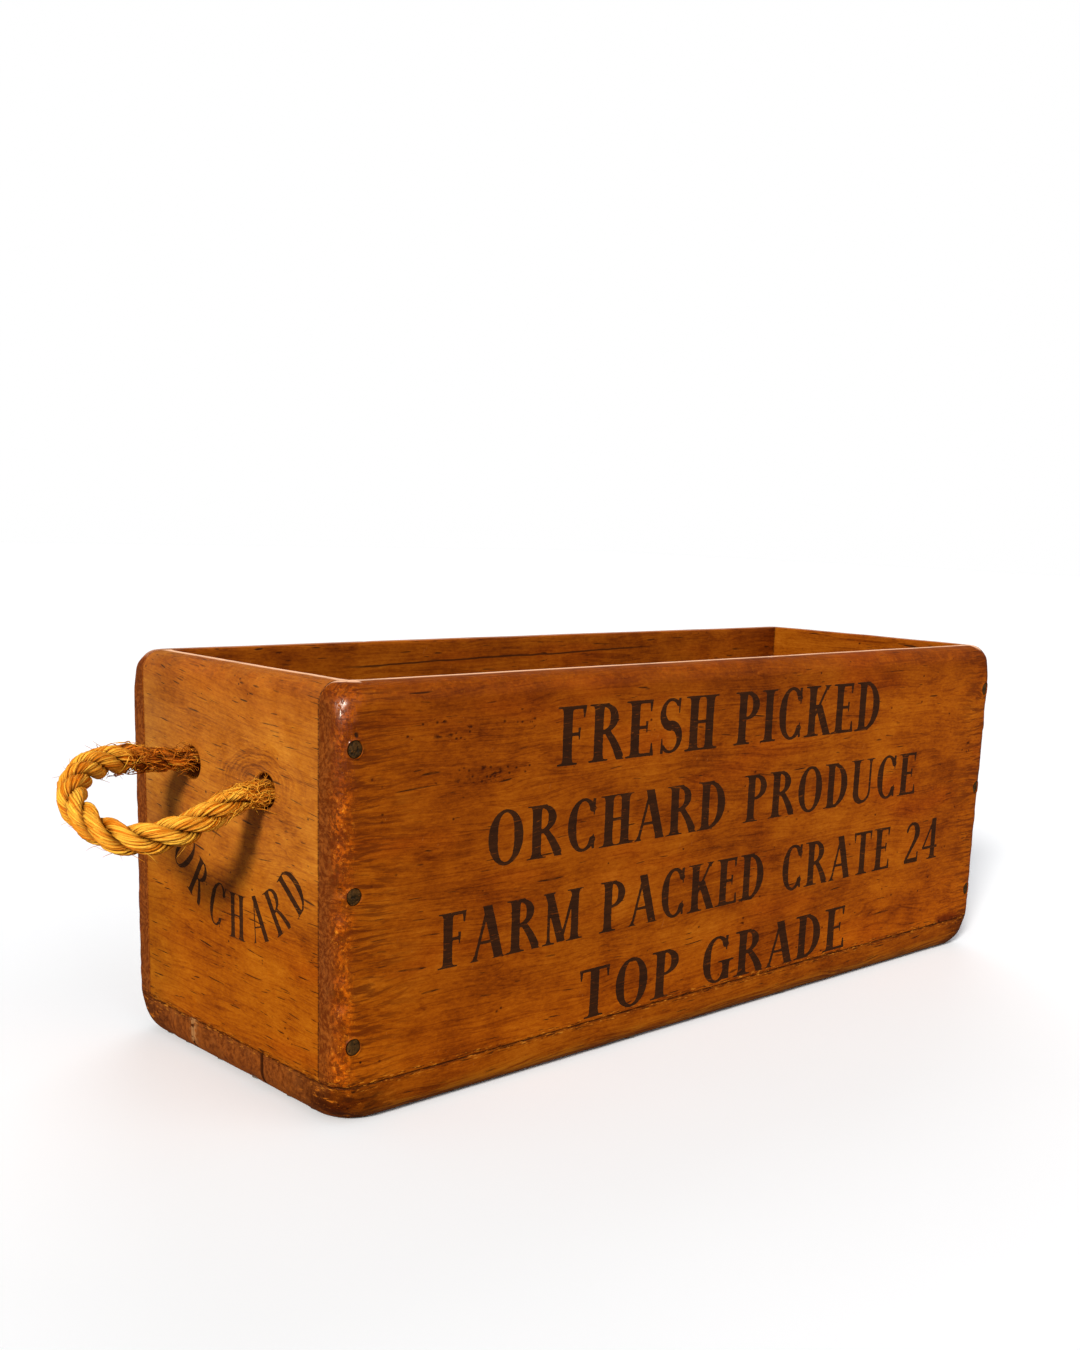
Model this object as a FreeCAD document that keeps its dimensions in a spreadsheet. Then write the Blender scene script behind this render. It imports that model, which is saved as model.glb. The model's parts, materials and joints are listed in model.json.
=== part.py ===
import FreeCAD, Part
import Sketcher
import math
import os

# A small trough-shaped wooden crate with a rope handle at each end.
#
# Frame: millimetres, +Z up. The origin is the middle of the underside.
# X runs along the length, -Y is the front, -X is the left end.
#
# Joinery: the front and back boards run the full length and cap the two
# end panels, which stand between them. Three lengthwise slats close the
# bottom. Countersunk screws go through the front and back boards into the
# end panels under filler plugs, and nails go up through the slats. Each
# handle is one rope whose two ends pass through the end panel and are
# knotted inside. The rope is modelled as two knotted ends, which slide in
# their holes, and an outer loop, which swings on them.

doc = FreeCAD.newDocument("crate")

# ----------------------------------------------------- driving dimensions
DIMENSIONS = [
    # outside of the crate and board thicknesses
    ("length", 500.0), ("width", 179.0), ("height", 193.0),
    ("board", 15.5), ("slat", 18.5),
    # rounding of the edges, and of a larger block that trims the corners
    ("edge_round", 9.0), ("corner_round", 34.0), ("corner_grow", 7.4),
    # bottom slats: centre lines (Y) of the two joints, and their gap
    ("joint_front", -29.0), ("joint_rear", 32.6), ("slat_gap", 0.8),
    # screws under filler plugs: heights (Z) and sizes
    ("screw_low", 37.0), ("screw_mid", 103.5), ("screw_top", 166.0),
    ("plug_radius", 3.9), ("plug_depth", 4.2), ("head_radius", 3.3),
    ("head_height", 2.2), ("shank_radius", 1.75), ("screw_length", 38.0),
    ("tip_length", 5.0), ("tip_radius", 0.3),
    ("slot_width", 0.8), ("slot_depth", 0.5), ("slot_overrun", 0.5),
    # clearance round the metal, and how far tools reach past a face
    ("slack", 0.06), ("overcut", 1.0),
    # slat nails
    ("nail_radius", 1.25), ("nail_head_radius", 2.9), ("nail_head_height", 1.1),
    ("nail_sink", 1.2), ("nail_length", 32.0), ("nail_tip", 4.0),
    ("nail_tip_radius", 0.25),
    # rope and its holes: side (Y) and lift (Z)
    ("rope_radius", 6.1), ("rope_hole_radius", 7.8),
    ("hole_front", -33.0), ("hole_rear", 29.5),
    ("hole_front_lift", 141.0), ("hole_rear_lift", 144.6),
    ("rope_front_lift", 139.6), ("rope_rear_lift", 146.0),
    # loop pivots: distance out from the end face, and gap to the rope ends
    ("pivot_out", 18.0), ("pivot_gap", 2.2),
    # knots and tails; tail_inward is the run towards mid-crate per unit drop,
    # the tilts are degrees towards +Y
    ("knot_radius", 16.0), ("knot_gap", 0.3),
    ("tail_radius", 5.8), ("tail_length", 38.0), ("tail_inward", 0.22),
    ("tail_front_tilt", 8.0), ("tail_rear_tilt", -11.0),
    # degrees by which the right-hand loop hangs below the left-hand one
    ("right_droop", 14.0),
]

# Centre line of a loop between its pivots, from rear to front:
# tag, reach out from the end face, side (Y), lift (Z)
LOOP = [
    ("a", 41.7, 25.2, 150.2),
    ("b", 62.1, 14.6, 147.3),
    ("c", 73.9, -1.6, 139.5),
    ("d", 73.4, -18.8, 131.1),
    ("e", 63.2, -31.6, 126.4),
    ("f", 44.6, -37.6, 128.8),
    ("g", 29.0, -36.4, 133.9),
]
for tag, reach, side_y, lift in LOOP:
    DIMENSIONS += [("reach_" + tag, reach), ("side_" + tag, side_y), ("lift_" + tag, lift)]

# Nail places: Y of those under each end panel, X of those under each side board
END_NAILS_Y = (-62.0, -43.0, -14.0, 17.0, 47.0, 65.0)
EDGE_NAILS_X = (-180.0, -62.0, 62.0, 180.0)
for prefix, places in (("end_nail_", END_NAILS_Y), ("edge_nail_", EDGE_NAILS_X)):
    DIMENSIONS += [(f"{prefix}{i}", value) for i, value in enumerate(places)]

sheet = doc.addObject("Spreadsheet::Sheet", "dims")
for row, (alias, value) in enumerate(DIMENSIONS, start=1):
    sheet.set(f"A{row}", alias)
    sheet.set(f"B{row}", repr(value))
    sheet.setAlias(f"B{row}", alias)
doc.recompute()

# Expressions shared by several pieces
HALF_LENGTH = "dims.length / 2"
HALF_WIDTH = "dims.width / 2"
WALL_HEIGHT = "dims.height - dims.slat"
# middle of each end panel's thickness (X)
END_MIDDLE = {"left": f"-{HALF_LENGTH} + dims.board / 2",
              "right": f"{HALF_LENGTH} - dims.board / 2"}
# middle of each side board's thickness (Y)
EDGE_MIDDLE = {"front": f"-{HALF_WIDTH} + dims.board / 2",
               "rear": f"{HALF_WIDTH} - dims.board / 2"}
SCREW_HEIGHTS = ("dims.screw_low", "dims.screw_mid", "dims.screw_top")

# Sign of X at each end, and of Y at each rope hole
ENDS = (("left", -1), ("right", 1))
ROPE_HOLES = (("front", -1), ("rear", 1))

X_AXIS = FreeCAD.Vector(1, 0, 0)
Y_AXIS = FreeCAD.Vector(0, 1, 0)
Z_AXIS = FreeCAD.Vector(0, 0, 1)


# ---------------------------------------------------------------- helpers
def val(alias):
    """Current value of a sheet dimension."""
    return float(getattr(sheet, alias))


def place(obj, x="0", y="0", z="0"):
    """Bind an object's position to expressions."""
    for axis, expression in (("x", x), ("y", y), ("z", z)):
        obj.setExpression("Placement.Base." + axis, expression)


def primitive(kind, name, sizes, position, rotation=None):
    """Part primitive with its sizes and position bound to expressions."""
    obj = doc.addObject("Part::" + kind, name)
    if rotation is not None:
        obj.Placement = FreeCAD.Placement(FreeCAD.Vector(), rotation)
    for size, expression in sizes.items():
        obj.setExpression(size, expression)
    place(obj, *position)
    return obj


def block(name, size_x, size_y, size_z, position):
    sizes = {"Length": size_x, "Width": size_y, "Height": size_z}
    return primitive("Box", name, sizes, position)


def rod(name, radius, height, position, rotation=None):
    return primitive("Cylinder", name, {"Radius": radius, "Height": height}, position, rotation)


def cone(name, start_radius, end_radius, height, position, rotation=None):
    sizes = {"Radius1": start_radius, "Radius2": end_radius, "Height": height}
    return primitive("Cone", name, sizes, position, rotation)


def fuse(name, shapes):
    obj = doc.addObject("Part::MultiFuse", name)
    obj.Shapes = shapes
    return obj


def cut(name, base, tool):
    obj = doc.addObject("Part::Cut", name)
    obj.Base = base
    obj.Tool = tool
    return obj


def common(name, base, tool):
    obj = doc.addObject("Part::Common", name)
    obj.Base = base
    obj.Tool = tool
    return obj


def group(name, members):
    obj = doc.addObject("Part::Compound", name)
    obj.Links = members
    return obj


NODES = []


def node(obj, label):
    """Register a finished piece; its label becomes its file name."""
    obj.Label = label
    NODES.append(obj)


# ------------------------------------------------- rounded outer envelope
# The crate is rounded over after assembly, so every outer edge belongs to
# one rounded envelope shared by all the boards.
def rounded_block(name, grow, radius):
    """Crate-sized block, grown on every face, with all its edges rounded."""
    body = doc.addObject("PartDesign::Body", name)
    box = doc.addObject("PartDesign::AdditiveBox", name + "_block")
    body.addObject(box)
    for size, alias in (("Length", "length"), ("Width", "width"), ("Height", "height")):
        box.setExpression(size, f"dims.{alias} + 2 * ({grow})")
    place(box, f"-{HALF_LENGTH} - ({grow})", f"-{HALF_WIDTH} - ({grow})", f"-({grow})")
    doc.recompute()
    fillet = body.newObject("PartDesign::Fillet", name + "_rounding")
    fillet.Base = (box, [f"Edge{i + 1}" for i in range(len(box.Shape.Edges))])
    fillet.setExpression("Radius", radius)
    doc.recompute()
    return body


envelope = common("outer_envelope",
                  rounded_block("outer_rounding", "0", "dims.edge_round"),
                  rounded_block("corner_rounding", "dims.corner_grow", "dims.corner_round"))
doc.recompute()


# ------------------------------------------------ side boards and slats
def lengthwise_blank(name, depth, height, y, z):
    """Full-length board trimmed to the rounded envelope."""
    board = block(name + "_block", "dims.length", depth, height, (f"-{HALF_LENGTH}", y, z))
    return common(name + "_blank", board, envelope)


front_blank = lengthwise_blank("front", "dims.board", WALL_HEIGHT,
                               f"-{HALF_WIDTH}", "dims.slat")
back_blank = lengthwise_blank("back", "dims.board", WALL_HEIGHT,
                              f"{HALF_WIDTH} - dims.board", "dims.slat")


# ------------------------------------------------------------- end panels
def dimension(sketch, expression, *constraint):
    """Add a dimensional constraint and bind it to an expression."""
    sketch.addConstraint(Sketcher.Constraint(*constraint))
    sketch.setExpression(f"Constraints[{sketch.ConstraintCount - 1}]", expression)


def end_sketch(body, name):
    """Sketch on the body's YZ plane: sketch x is Y, sketch y is Z."""
    support = next(f for f in body.Origin.OriginFeatures if f.Role == "YZ_Plane")
    sketch = body.newObject("Sketcher::SketchObject", name)
    sketch.AttachmentSupport = [(support, "")]
    sketch.MapMode = "FlatFace"
    return sketch


def panel_outline(body, name):
    """Rectangle between the side boards, from the slats to the top."""
    sketch = end_sketch(body, name)
    half = val("width") / 2 - val("board")
    low, high = val("slat"), val("height")
    corners = [FreeCAD.Vector(-half, low, 0), FreeCAD.Vector(half, low, 0),
               FreeCAD.Vector(half, high, 0), FreeCAD.Vector(-half, high, 0)]
    for i in range(4):
        sketch.addGeometry(Part.LineSegment(corners[i], corners[(i + 1) % 4]), False)
    for i in range(4):
        sketch.addConstraint(Sketcher.Constraint("Coincident", i, 2, (i + 1) % 4, 1))
    for kind, edge in (("Horizontal", 0), ("Horizontal", 2), ("Vertical", 1), ("Vertical", 3)):
        sketch.addConstraint(Sketcher.Constraint(kind, edge))
    dimension(sketch, f"{HALF_WIDTH} - dims.board", "DistanceX", 0, 1, -1, 1, half)
    dimension(sketch, "dims.width - 2 * dims.board", "DistanceX", 0, 1, 0, 2, 2 * half)
    dimension(sketch, "dims.slat", "DistanceY", -1, 1, 0, 1, low)
    dimension(sketch, WALL_HEIGHT, "DistanceY", 1, 1, 1, 2, high - low)
    doc.recompute()
    return sketch


def hole_circles(body, name):
    """Front and rear rope holes."""
    sketch = end_sketch(body, name)
    radius = val("rope_hole_radius")
    origin = (-1, 1)
    for i, (hole, y_sign) in enumerate(ROPE_HOLES):
        y, z = val(f"hole_{hole}"), val(f"hole_{hole}_lift")
        sketch.addGeometry(Part.Circle(FreeCAD.Vector(y, z, 0), Z_AXIS, radius), False)
        centre = (i, 3)
        dimension(sketch, "dims.rope_hole_radius", "Radius", i, radius)
        # a distance is positive, so it is measured from the lower Y to the higher
        if y_sign < 0:
            dimension(sketch, f"-dims.hole_{hole}", "DistanceX", *centre, *origin, -y)
        else:
            dimension(sketch, f"dims.hole_{hole}", "DistanceX", *origin, *centre, y)
        dimension(sketch, f"dims.hole_{hole}_lift", "DistanceY", *origin, *centre, z)
    doc.recompute()
    return sketch


def end_blank(name, x_sign):
    """Panel between the side boards, with its two rope holes."""
    body = doc.addObject("PartDesign::Body", name + "_body")
    outline = panel_outline(body, name + "_outline")
    pad = body.newObject("PartDesign::Pad", name + "_pad")
    pad.Profile = outline
    pad.setExpression("Length", "dims.board")
    # both panels thicken inwards from their outer face
    pad.Reversed = x_sign > 0
    doc.recompute()

    circles = hole_circles(body, name + "_hole_circles")
    solid_volume = body.Shape.Volume
    pocket = body.newObject("PartDesign::Pocket", name + "_rope_holes")
    pocket.Profile = circles
    pocket.Type = "ThroughAll"
    pocket.Midplane = True
    doc.recompute()
    removed = solid_volume - body.Shape.Volume
    wanted = 2 * math.pi * val("rope_hole_radius") ** 2 * val("board")
    if abs(removed - wanted) > 0.01 * wanted:
        raise RuntimeError(f"rope holes removed {removed:.1f}, not {wanted:.1f}")

    place(body, f"-{HALF_LENGTH}" if x_sign < 0 else HALF_LENGTH)
    doc.recompute()
    return common(name + "_blank", body, envelope)


end_blanks = {end: end_blank(end + "_end", x_sign) for end, x_sign in ENDS}

# ----------------------------------------------------------- bottom slats
# Name, low Y edge, depth along Y
SLATS = (
    ("front", f"-{HALF_WIDTH}", f"dims.joint_front - dims.slat_gap / 2 + {HALF_WIDTH}"),
    ("middle", "dims.joint_front + dims.slat_gap / 2",
     "dims.joint_rear - dims.joint_front - dims.slat_gap"),
    ("rear", "dims.joint_rear + dims.slat_gap / 2",
     f"{HALF_WIDTH} - dims.joint_rear - dims.slat_gap / 2"),
)
slat_blanks = {name: lengthwise_blank(name + "_slat", depth, "dims.slat", low_y, "0")
               for name, low_y, depth in SLATS}


# --------------------------------------- screws, plugs and their clearances
# In both functions face is the board's outer face (Y), drive is the sign of
# driving along Y, and bore asks for the clearance hole instead of the piece.
def driving_turn(drive):
    """Rotation that lays a piece built along +Z in the driving direction."""
    return FreeCAD.Rotation(X_AXIS, -90 if drive > 0 else 90)


def screw_set(corner, x, face, drive, bore):
    """Three screws through one end of a side board."""
    inward = "+" if drive > 0 else "-"
    rotation = driving_turn(drive)
    grow = " + dims.slack" if bore else ""
    shank_radius = "dims.shank_radius" + grow
    shank_length = "dims.screw_length - dims.tip_length"
    head_y = f"{face} {inward} dims.plug_depth"
    tip_y = f"{head_y} {inward} ({shank_length})"
    screws = []
    for i, z in enumerate(SCREW_HEIGHTS):
        tag = f"{corner}_{i}{'_bore' if bore else ''}"
        head = cone("head_" + tag, "dims.head_radius" + grow, shank_radius,
                    "dims.head_height" + grow, (x, head_y, z), rotation)
        shank = rod("shank_" + tag, shank_radius, shank_length, (x, head_y, z), rotation)
        tip = cone("tip_" + tag, shank_radius, "dims.tip_radius" + grow,
                   "dims.tip_length" + grow, (x, tip_y, z), rotation)
        screw = fuse("screw_" + tag, [head, shank, tip])
        if not bore:
            # straight driver slot across the head
            slot = block("slot_" + tag, "2 * (dims.head_radius + dims.slot_overrun)",
                         "2 * dims.slot_depth", "dims.slot_width",
                         (f"{x} - dims.head_radius - dims.slot_overrun",
                          f"{head_y} - dims.slot_depth", f"{z} - dims.slot_width / 2"))
            screw = cut("screw_slotted_" + tag, screw, slot)
        screws.append(screw)
    return screws


def plug_set(corner, x, face, drive, bore):
    """Three filler plugs over the screws, trimmed to the envelope."""
    outward = "-" if drive > 0 else "+"
    # a plug stops short of the screw head by the slack
    depth = "dims.plug_depth + dims.overcut" + ("" if bore else " - dims.slack")
    plugs = []
    for i, z in enumerate(SCREW_HEIGHTS):
        tag = f"{corner}_{i}{'_bore' if bore else ''}"
        plug = rod("plug_" + tag, "dims.plug_radius", depth,
                   (x, f"{face} {outward} dims.overcut", z), driving_turn(drive))
        plugs.append(plug if bore else common("plug_trimmed_" + tag, plug, envelope))
    return plugs


board_bores = {"front": [], "back": []}
panel_bores = {"left": [], "right": []}
for end, x in END_MIDDLE.items():
    for wall, face, drive in (("front", f"-{HALF_WIDTH}", 1), ("back", HALF_WIDTH, -1)):
        corner = f"{wall}_{end}"
        where = (corner, x, face, drive)
        node(group(corner + "_screws_group", screw_set(*where, bore=False)), corner + "_screws")
        node(group(corner + "_plugs_group", plug_set(*where, bore=False)), corner + "_plugs")
        screw_bores = screw_set(*where, bore=True)
        board_bores[wall] += screw_bores + plug_set(*where, bore=True)
        panel_bores[end] += screw_bores


# ------------------------------------------------------------------ nails
def nail(name, x, y, bore):
    """Nail driven up through a slat, or its clearance hole."""
    tag = name + ("_bore" if bore else "")
    grow = " + dims.slack" if bore else ""
    if bore:
        # the head's hole is open to the underside
        head_height = "dims.nail_sink + dims.nail_head_height + dims.overcut"
        head_z = "-dims.overcut"
    else:
        head_height = "dims.nail_head_height"
        head_z = "dims.nail_sink"
    head = rod("nail_head_" + tag, "dims.nail_head_radius" + grow, head_height, (x, y, head_z))
    shank = rod("nail_shank_" + tag, "dims.nail_radius" + grow,
                "dims.nail_length - dims.nail_tip", (x, y, "dims.nail_sink"))
    tip = cone("nail_tip_" + tag, "dims.nail_radius" + grow, "dims.nail_tip_radius" + grow,
               "dims.nail_tip" + grow,
               (x, y, "dims.nail_sink + dims.nail_length - dims.nail_tip"))
    return fuse("nail_" + tag, [head, shank, tip])


nail_places = {}
for end, x in END_MIDDLE.items():
    nail_places[end + "_end"] = [(x, f"dims.end_nail_{i}") for i in range(len(END_NAILS_Y))]
for edge, y in EDGE_MIDDLE.items():
    nail_places[edge + "_edge"] = [(f"dims.edge_nail_{i}", y) for i in range(len(EDGE_NAILS_X))]

nail_bores = {}
for row_name, places in nail_places.items():
    nails = []
    nail_bores[row_name] = []
    for i, (x, y) in enumerate(places):
        nails.append(nail(f"{row_name}_{i}", x, y, bore=False))
        nail_bores[row_name].append(nail(f"{row_name}_{i}", x, y, bore=True))
    node(group(row_name + "_nails_group", nails), row_name + "_slat_nails")


# ------------------------------------------------- boards with their bores
def drilled(name, blank, bores, label):
    node(cut(name + "_drilled", blank, fuse(name + "_bores", bores)), label)


drilled("front_board", front_blank, board_bores["front"] + nail_bores["front_edge"],
        "front_board")
drilled("back_board", back_blank, board_bores["back"] + nail_bores["rear_edge"],
        "back_board")
for end, blank in end_blanks.items():
    drilled(end + "_end", blank, panel_bores[end] + nail_bores[end + "_end"],
            end + "_end_panel")
# the end nails' bores run through all three slats' rows
for name, blank in slat_blanks.items():
    bores = nail_bores["left_end"] + nail_bores["right_end"] + nail_bores.get(name + "_edge", [])
    drilled(name + "_slat", blank, bores, "bottom_slat_" + name)
doc.recompute()


# -------------------------------------------------------------- rope ends
def rope_end(end, x_sign, hole):
    """Straight run through the hole, a knot inside the panel and its tail."""
    tag = f"{end}_{hole}"
    minus = "-" if x_sign < 0 else ""
    y, z = f"dims.hole_{hole}", f"dims.rope_{hole}_lift"
    # the run starts just short of the outer pivot and ends in mid-knot
    reach = "dims.pivot_out - dims.rope_radius - dims.pivot_gap"
    inset = "(dims.board + dims.knot_gap + dims.knot_radius)"
    knot_centre = (f"{minus}({HALF_LENGTH} - {inset})", y, z)
    run = rod("rope_run_" + tag, "dims.rope_radius", f"{reach} + {inset}",
              (f"{minus}({HALF_LENGTH} + {reach})", y, z),
              FreeCAD.Rotation(Y_AXIS, 90 if x_sign < 0 else -90))
    knot = primitive("Sphere", "knot_ball_" + tag, {"Radius": "dims.knot_radius"},
                     knot_centre, FreeCAD.Rotation(Y_AXIS, 90))
    hang = FreeCAD.Vector(-x_sign * val("tail_inward"),
                          math.tan(math.radians(val(f"tail_{hole}_tilt"))), -1)
    tail = rod("rope_tail_" + tag, "dims.tail_radius", "dims.tail_length",
               knot_centre, FreeCAD.Rotation(Z_AXIS, hang))
    node(fuse("rope_end_" + tag, [run, knot, tail]), f"{end}_rope_{hole}_knot")


for end, x_sign in ENDS:
    for hole, _ in ROPE_HOLES:
        rope_end(end, x_sign, hole)
doc.recompute()


# ------------------------------------------------------------- rope loops
def loop_points(x_sign):
    """Centre line of an outer loop, from the rear pivot to the front pivot."""
    face_x = val("length") / 2
    pivot_x = face_x + val("pivot_out")
    rear = FreeCAD.Vector(pivot_x, val("hole_rear"), val("rope_rear_lift"))
    front = FreeCAD.Vector(pivot_x, val("hole_front"), val("rope_front_lift"))
    between = [FreeCAD.Vector(face_x + val("reach_" + tag), val("side_" + tag), val("lift_" + tag))
               for tag, *_ in LOOP]
    points = [rear] + between + [front]
    if x_sign < 0:
        return [FreeCAD.Vector(-p.x, p.y, p.z) for p in points]
    # the right-hand loop hangs a little lower on its pivots
    axis = rear - front
    axis.normalize()
    droop = FreeCAD.Placement(FreeCAD.Vector(), FreeCAD.Rotation(axis, val("right_droop")), front)
    return [droop.multVec(p) for p in points]


def rope_loop(end, x_sign):
    """Rope swept along the loop, with a ball at each pivot."""
    points = loop_points(x_sign)
    curve = Part.BSplineCurve()
    curve.interpolate(Points=points)
    path = doc.addObject("Part::Feature", end + "_loop_path")
    path.Shape = Part.Wire([curve.toShape()])

    start = curve.value(curve.FirstParameter)
    along = curve.tangent(curve.FirstParameter)[0]
    section = doc.addObject("Part::Circle", end + "_rope_section")
    section.Placement = FreeCAD.Placement(start, FreeCAD.Rotation(Z_AXIS, along))
    section.setExpression("Radius", "dims.rope_radius")
    doc.recompute()
    sweep = doc.addObject("Part::Sweep", end + "_rope_sweep")
    sweep.Sections = [section]
    sweep.Spine = (path, ["Edge1"])
    sweep.Solid = True
    sweep.Frenet = False
    doc.recompute()

    balls = []
    for hole, pivot in (("rear", points[0]), ("front", points[-1])):
        ball = doc.addObject("Part::Sphere", f"{end}_{hole}_pivot_ball")
        ball.setExpression("Radius", "dims.rope_radius")
        ball.Placement.Base = pivot
        balls.append(ball)
    node(fuse(end + "_loop_fused", [sweep] + balls), end + "_rope_loop")


for end, x_sign in ENDS:
    rope_loop(end, x_sign)
doc.recompute()

# ------------------------------------------------------- check and export
bad = []
for obj in doc.Objects:
    if "Invalid" in obj.State or "Error" in obj.State:
        bad.append(f"{obj.Name} {obj.State}")
for obj in NODES:
    shape = obj.Shape
    if shape.isNull() or not shape.isValid() or not shape.Solids:
        bad.append(f"{obj.Label} has no valid solid")
if bad:
    raise RuntimeError("; ".join(bad))

os.makedirs("parts", exist_ok=True)
for obj in NODES:
    obj.Shape.exportStep(f"parts/{obj.Label}.step")
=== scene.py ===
"""A wooden crate with printed words on its front and left end, and two rope handles.

The crate stands on z = 0, centred on x = y = 0. Its long sides face -Y (front) and +Y (back), its
ends face -X (left) and +X (right). Each end has two holes with a rope looped through them and
knotted inside. Shapes are worked out in millimetres and turned into metres as meshes are made.
"""

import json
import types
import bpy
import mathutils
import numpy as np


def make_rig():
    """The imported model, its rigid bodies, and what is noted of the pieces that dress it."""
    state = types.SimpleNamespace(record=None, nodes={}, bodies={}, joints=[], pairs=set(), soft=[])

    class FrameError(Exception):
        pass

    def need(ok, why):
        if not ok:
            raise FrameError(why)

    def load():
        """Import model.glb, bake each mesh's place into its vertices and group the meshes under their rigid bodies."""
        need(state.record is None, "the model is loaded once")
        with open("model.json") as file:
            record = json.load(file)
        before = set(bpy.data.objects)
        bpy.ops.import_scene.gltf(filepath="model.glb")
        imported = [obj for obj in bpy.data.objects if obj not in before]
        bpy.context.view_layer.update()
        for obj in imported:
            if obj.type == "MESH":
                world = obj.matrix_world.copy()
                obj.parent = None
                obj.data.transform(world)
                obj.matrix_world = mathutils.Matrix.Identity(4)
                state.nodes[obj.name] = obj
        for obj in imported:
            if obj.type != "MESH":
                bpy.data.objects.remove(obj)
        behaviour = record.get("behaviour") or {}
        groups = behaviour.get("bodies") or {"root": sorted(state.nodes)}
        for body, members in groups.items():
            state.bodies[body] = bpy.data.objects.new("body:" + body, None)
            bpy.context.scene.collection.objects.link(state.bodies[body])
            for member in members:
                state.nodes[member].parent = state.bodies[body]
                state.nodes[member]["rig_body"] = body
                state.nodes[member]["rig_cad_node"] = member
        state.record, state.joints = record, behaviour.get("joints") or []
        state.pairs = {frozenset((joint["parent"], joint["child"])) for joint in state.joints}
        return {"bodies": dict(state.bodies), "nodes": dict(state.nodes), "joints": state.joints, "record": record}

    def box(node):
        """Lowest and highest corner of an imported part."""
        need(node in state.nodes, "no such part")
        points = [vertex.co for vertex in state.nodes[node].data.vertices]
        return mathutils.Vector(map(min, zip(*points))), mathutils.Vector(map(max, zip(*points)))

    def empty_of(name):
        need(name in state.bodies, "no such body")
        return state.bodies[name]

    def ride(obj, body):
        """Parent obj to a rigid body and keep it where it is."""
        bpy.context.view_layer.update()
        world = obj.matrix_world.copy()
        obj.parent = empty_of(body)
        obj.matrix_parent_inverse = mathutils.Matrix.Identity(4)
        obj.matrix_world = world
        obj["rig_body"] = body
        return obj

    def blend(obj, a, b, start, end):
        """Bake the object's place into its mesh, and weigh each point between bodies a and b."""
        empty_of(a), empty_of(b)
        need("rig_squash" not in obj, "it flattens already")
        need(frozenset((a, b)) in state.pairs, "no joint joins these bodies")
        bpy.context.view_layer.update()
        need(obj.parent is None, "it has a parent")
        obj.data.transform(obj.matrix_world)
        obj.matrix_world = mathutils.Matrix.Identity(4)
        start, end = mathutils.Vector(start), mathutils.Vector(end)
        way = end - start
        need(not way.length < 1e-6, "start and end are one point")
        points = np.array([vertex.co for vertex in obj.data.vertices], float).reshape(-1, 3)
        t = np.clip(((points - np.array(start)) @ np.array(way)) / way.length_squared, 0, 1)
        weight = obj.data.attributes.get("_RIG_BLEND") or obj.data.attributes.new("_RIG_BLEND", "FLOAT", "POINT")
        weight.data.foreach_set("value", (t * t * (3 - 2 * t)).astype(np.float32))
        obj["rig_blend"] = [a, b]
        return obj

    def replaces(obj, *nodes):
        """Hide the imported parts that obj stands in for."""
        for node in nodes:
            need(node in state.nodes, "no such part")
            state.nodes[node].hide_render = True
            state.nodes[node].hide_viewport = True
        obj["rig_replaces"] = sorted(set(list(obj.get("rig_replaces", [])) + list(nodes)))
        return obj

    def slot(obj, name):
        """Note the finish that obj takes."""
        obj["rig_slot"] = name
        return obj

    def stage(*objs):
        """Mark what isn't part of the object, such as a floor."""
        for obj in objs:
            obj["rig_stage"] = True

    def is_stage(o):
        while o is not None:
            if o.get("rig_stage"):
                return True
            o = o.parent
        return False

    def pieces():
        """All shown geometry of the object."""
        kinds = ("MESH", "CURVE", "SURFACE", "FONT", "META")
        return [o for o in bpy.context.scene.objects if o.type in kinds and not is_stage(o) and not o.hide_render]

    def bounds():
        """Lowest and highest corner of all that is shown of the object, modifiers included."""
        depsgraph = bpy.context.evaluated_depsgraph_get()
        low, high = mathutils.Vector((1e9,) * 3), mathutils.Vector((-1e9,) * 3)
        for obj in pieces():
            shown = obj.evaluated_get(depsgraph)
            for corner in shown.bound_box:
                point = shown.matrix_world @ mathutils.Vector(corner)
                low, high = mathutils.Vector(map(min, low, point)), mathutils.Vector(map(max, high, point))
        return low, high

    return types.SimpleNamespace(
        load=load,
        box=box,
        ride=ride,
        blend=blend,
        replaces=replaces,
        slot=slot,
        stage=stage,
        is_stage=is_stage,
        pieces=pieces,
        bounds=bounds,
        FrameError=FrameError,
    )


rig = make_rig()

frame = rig.load()

import bpy
import json
import math
from collections import namedtuple
import numpy as np
from mathutils import Vector, Matrix
from mathutils.geometry import delaunay_2d_cdt

CAD_BOX = [[float(c) for c in corner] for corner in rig.bounds()]
MM = 0.001

# ------------------------------------------------------------- main sizes (mm)
BOX = {name: np.array(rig.box(name)) * 1000.0 for name in frame["nodes"]}
FRONT_LO, FRONT_HI = BOX["front_board"]
H = float(FRONT_HI[2])                                # height of the crate
HX = float(FRONT_HI[0] - FRONT_LO[0]) / 2             # half its length
HY = float(BOX["back_board"][1][1] - FRONT_LO[1]) / 2  # half its width
BOARD = float(FRONT_HI[1] - FRONT_LO[1])              # thickness of the sides
SLAT = float(FRONT_LO[2])                             # thickness of the bottom slats
X_IN, Y_IN = HX - BOARD, HY - BOARD                   # inner faces

R_VERT, R_TOP, R_BOT = 7.8, 9.6, 10.2                 # rounding of the outer edges

PLUG_Z = [37.0, 103.5, 166.0]
PLUG_X = HX - BOARD / 2
PLUG_R = float(BOX["front_left_plugs"][1][0] - BOX["front_left_plugs"][0][0]) / 2

FRONT_HOLE, REAR_HOLE = (-33.0, 141.0), (29.5, 144.6)  # rope holes, (y, z)
HOLES = [FRONT_HOLE, REAR_HOLE]
HOLE_R = 7.8

SIDES = {"left": -1.0, "right": 1.0}
ROPE_R = 6.1


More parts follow.
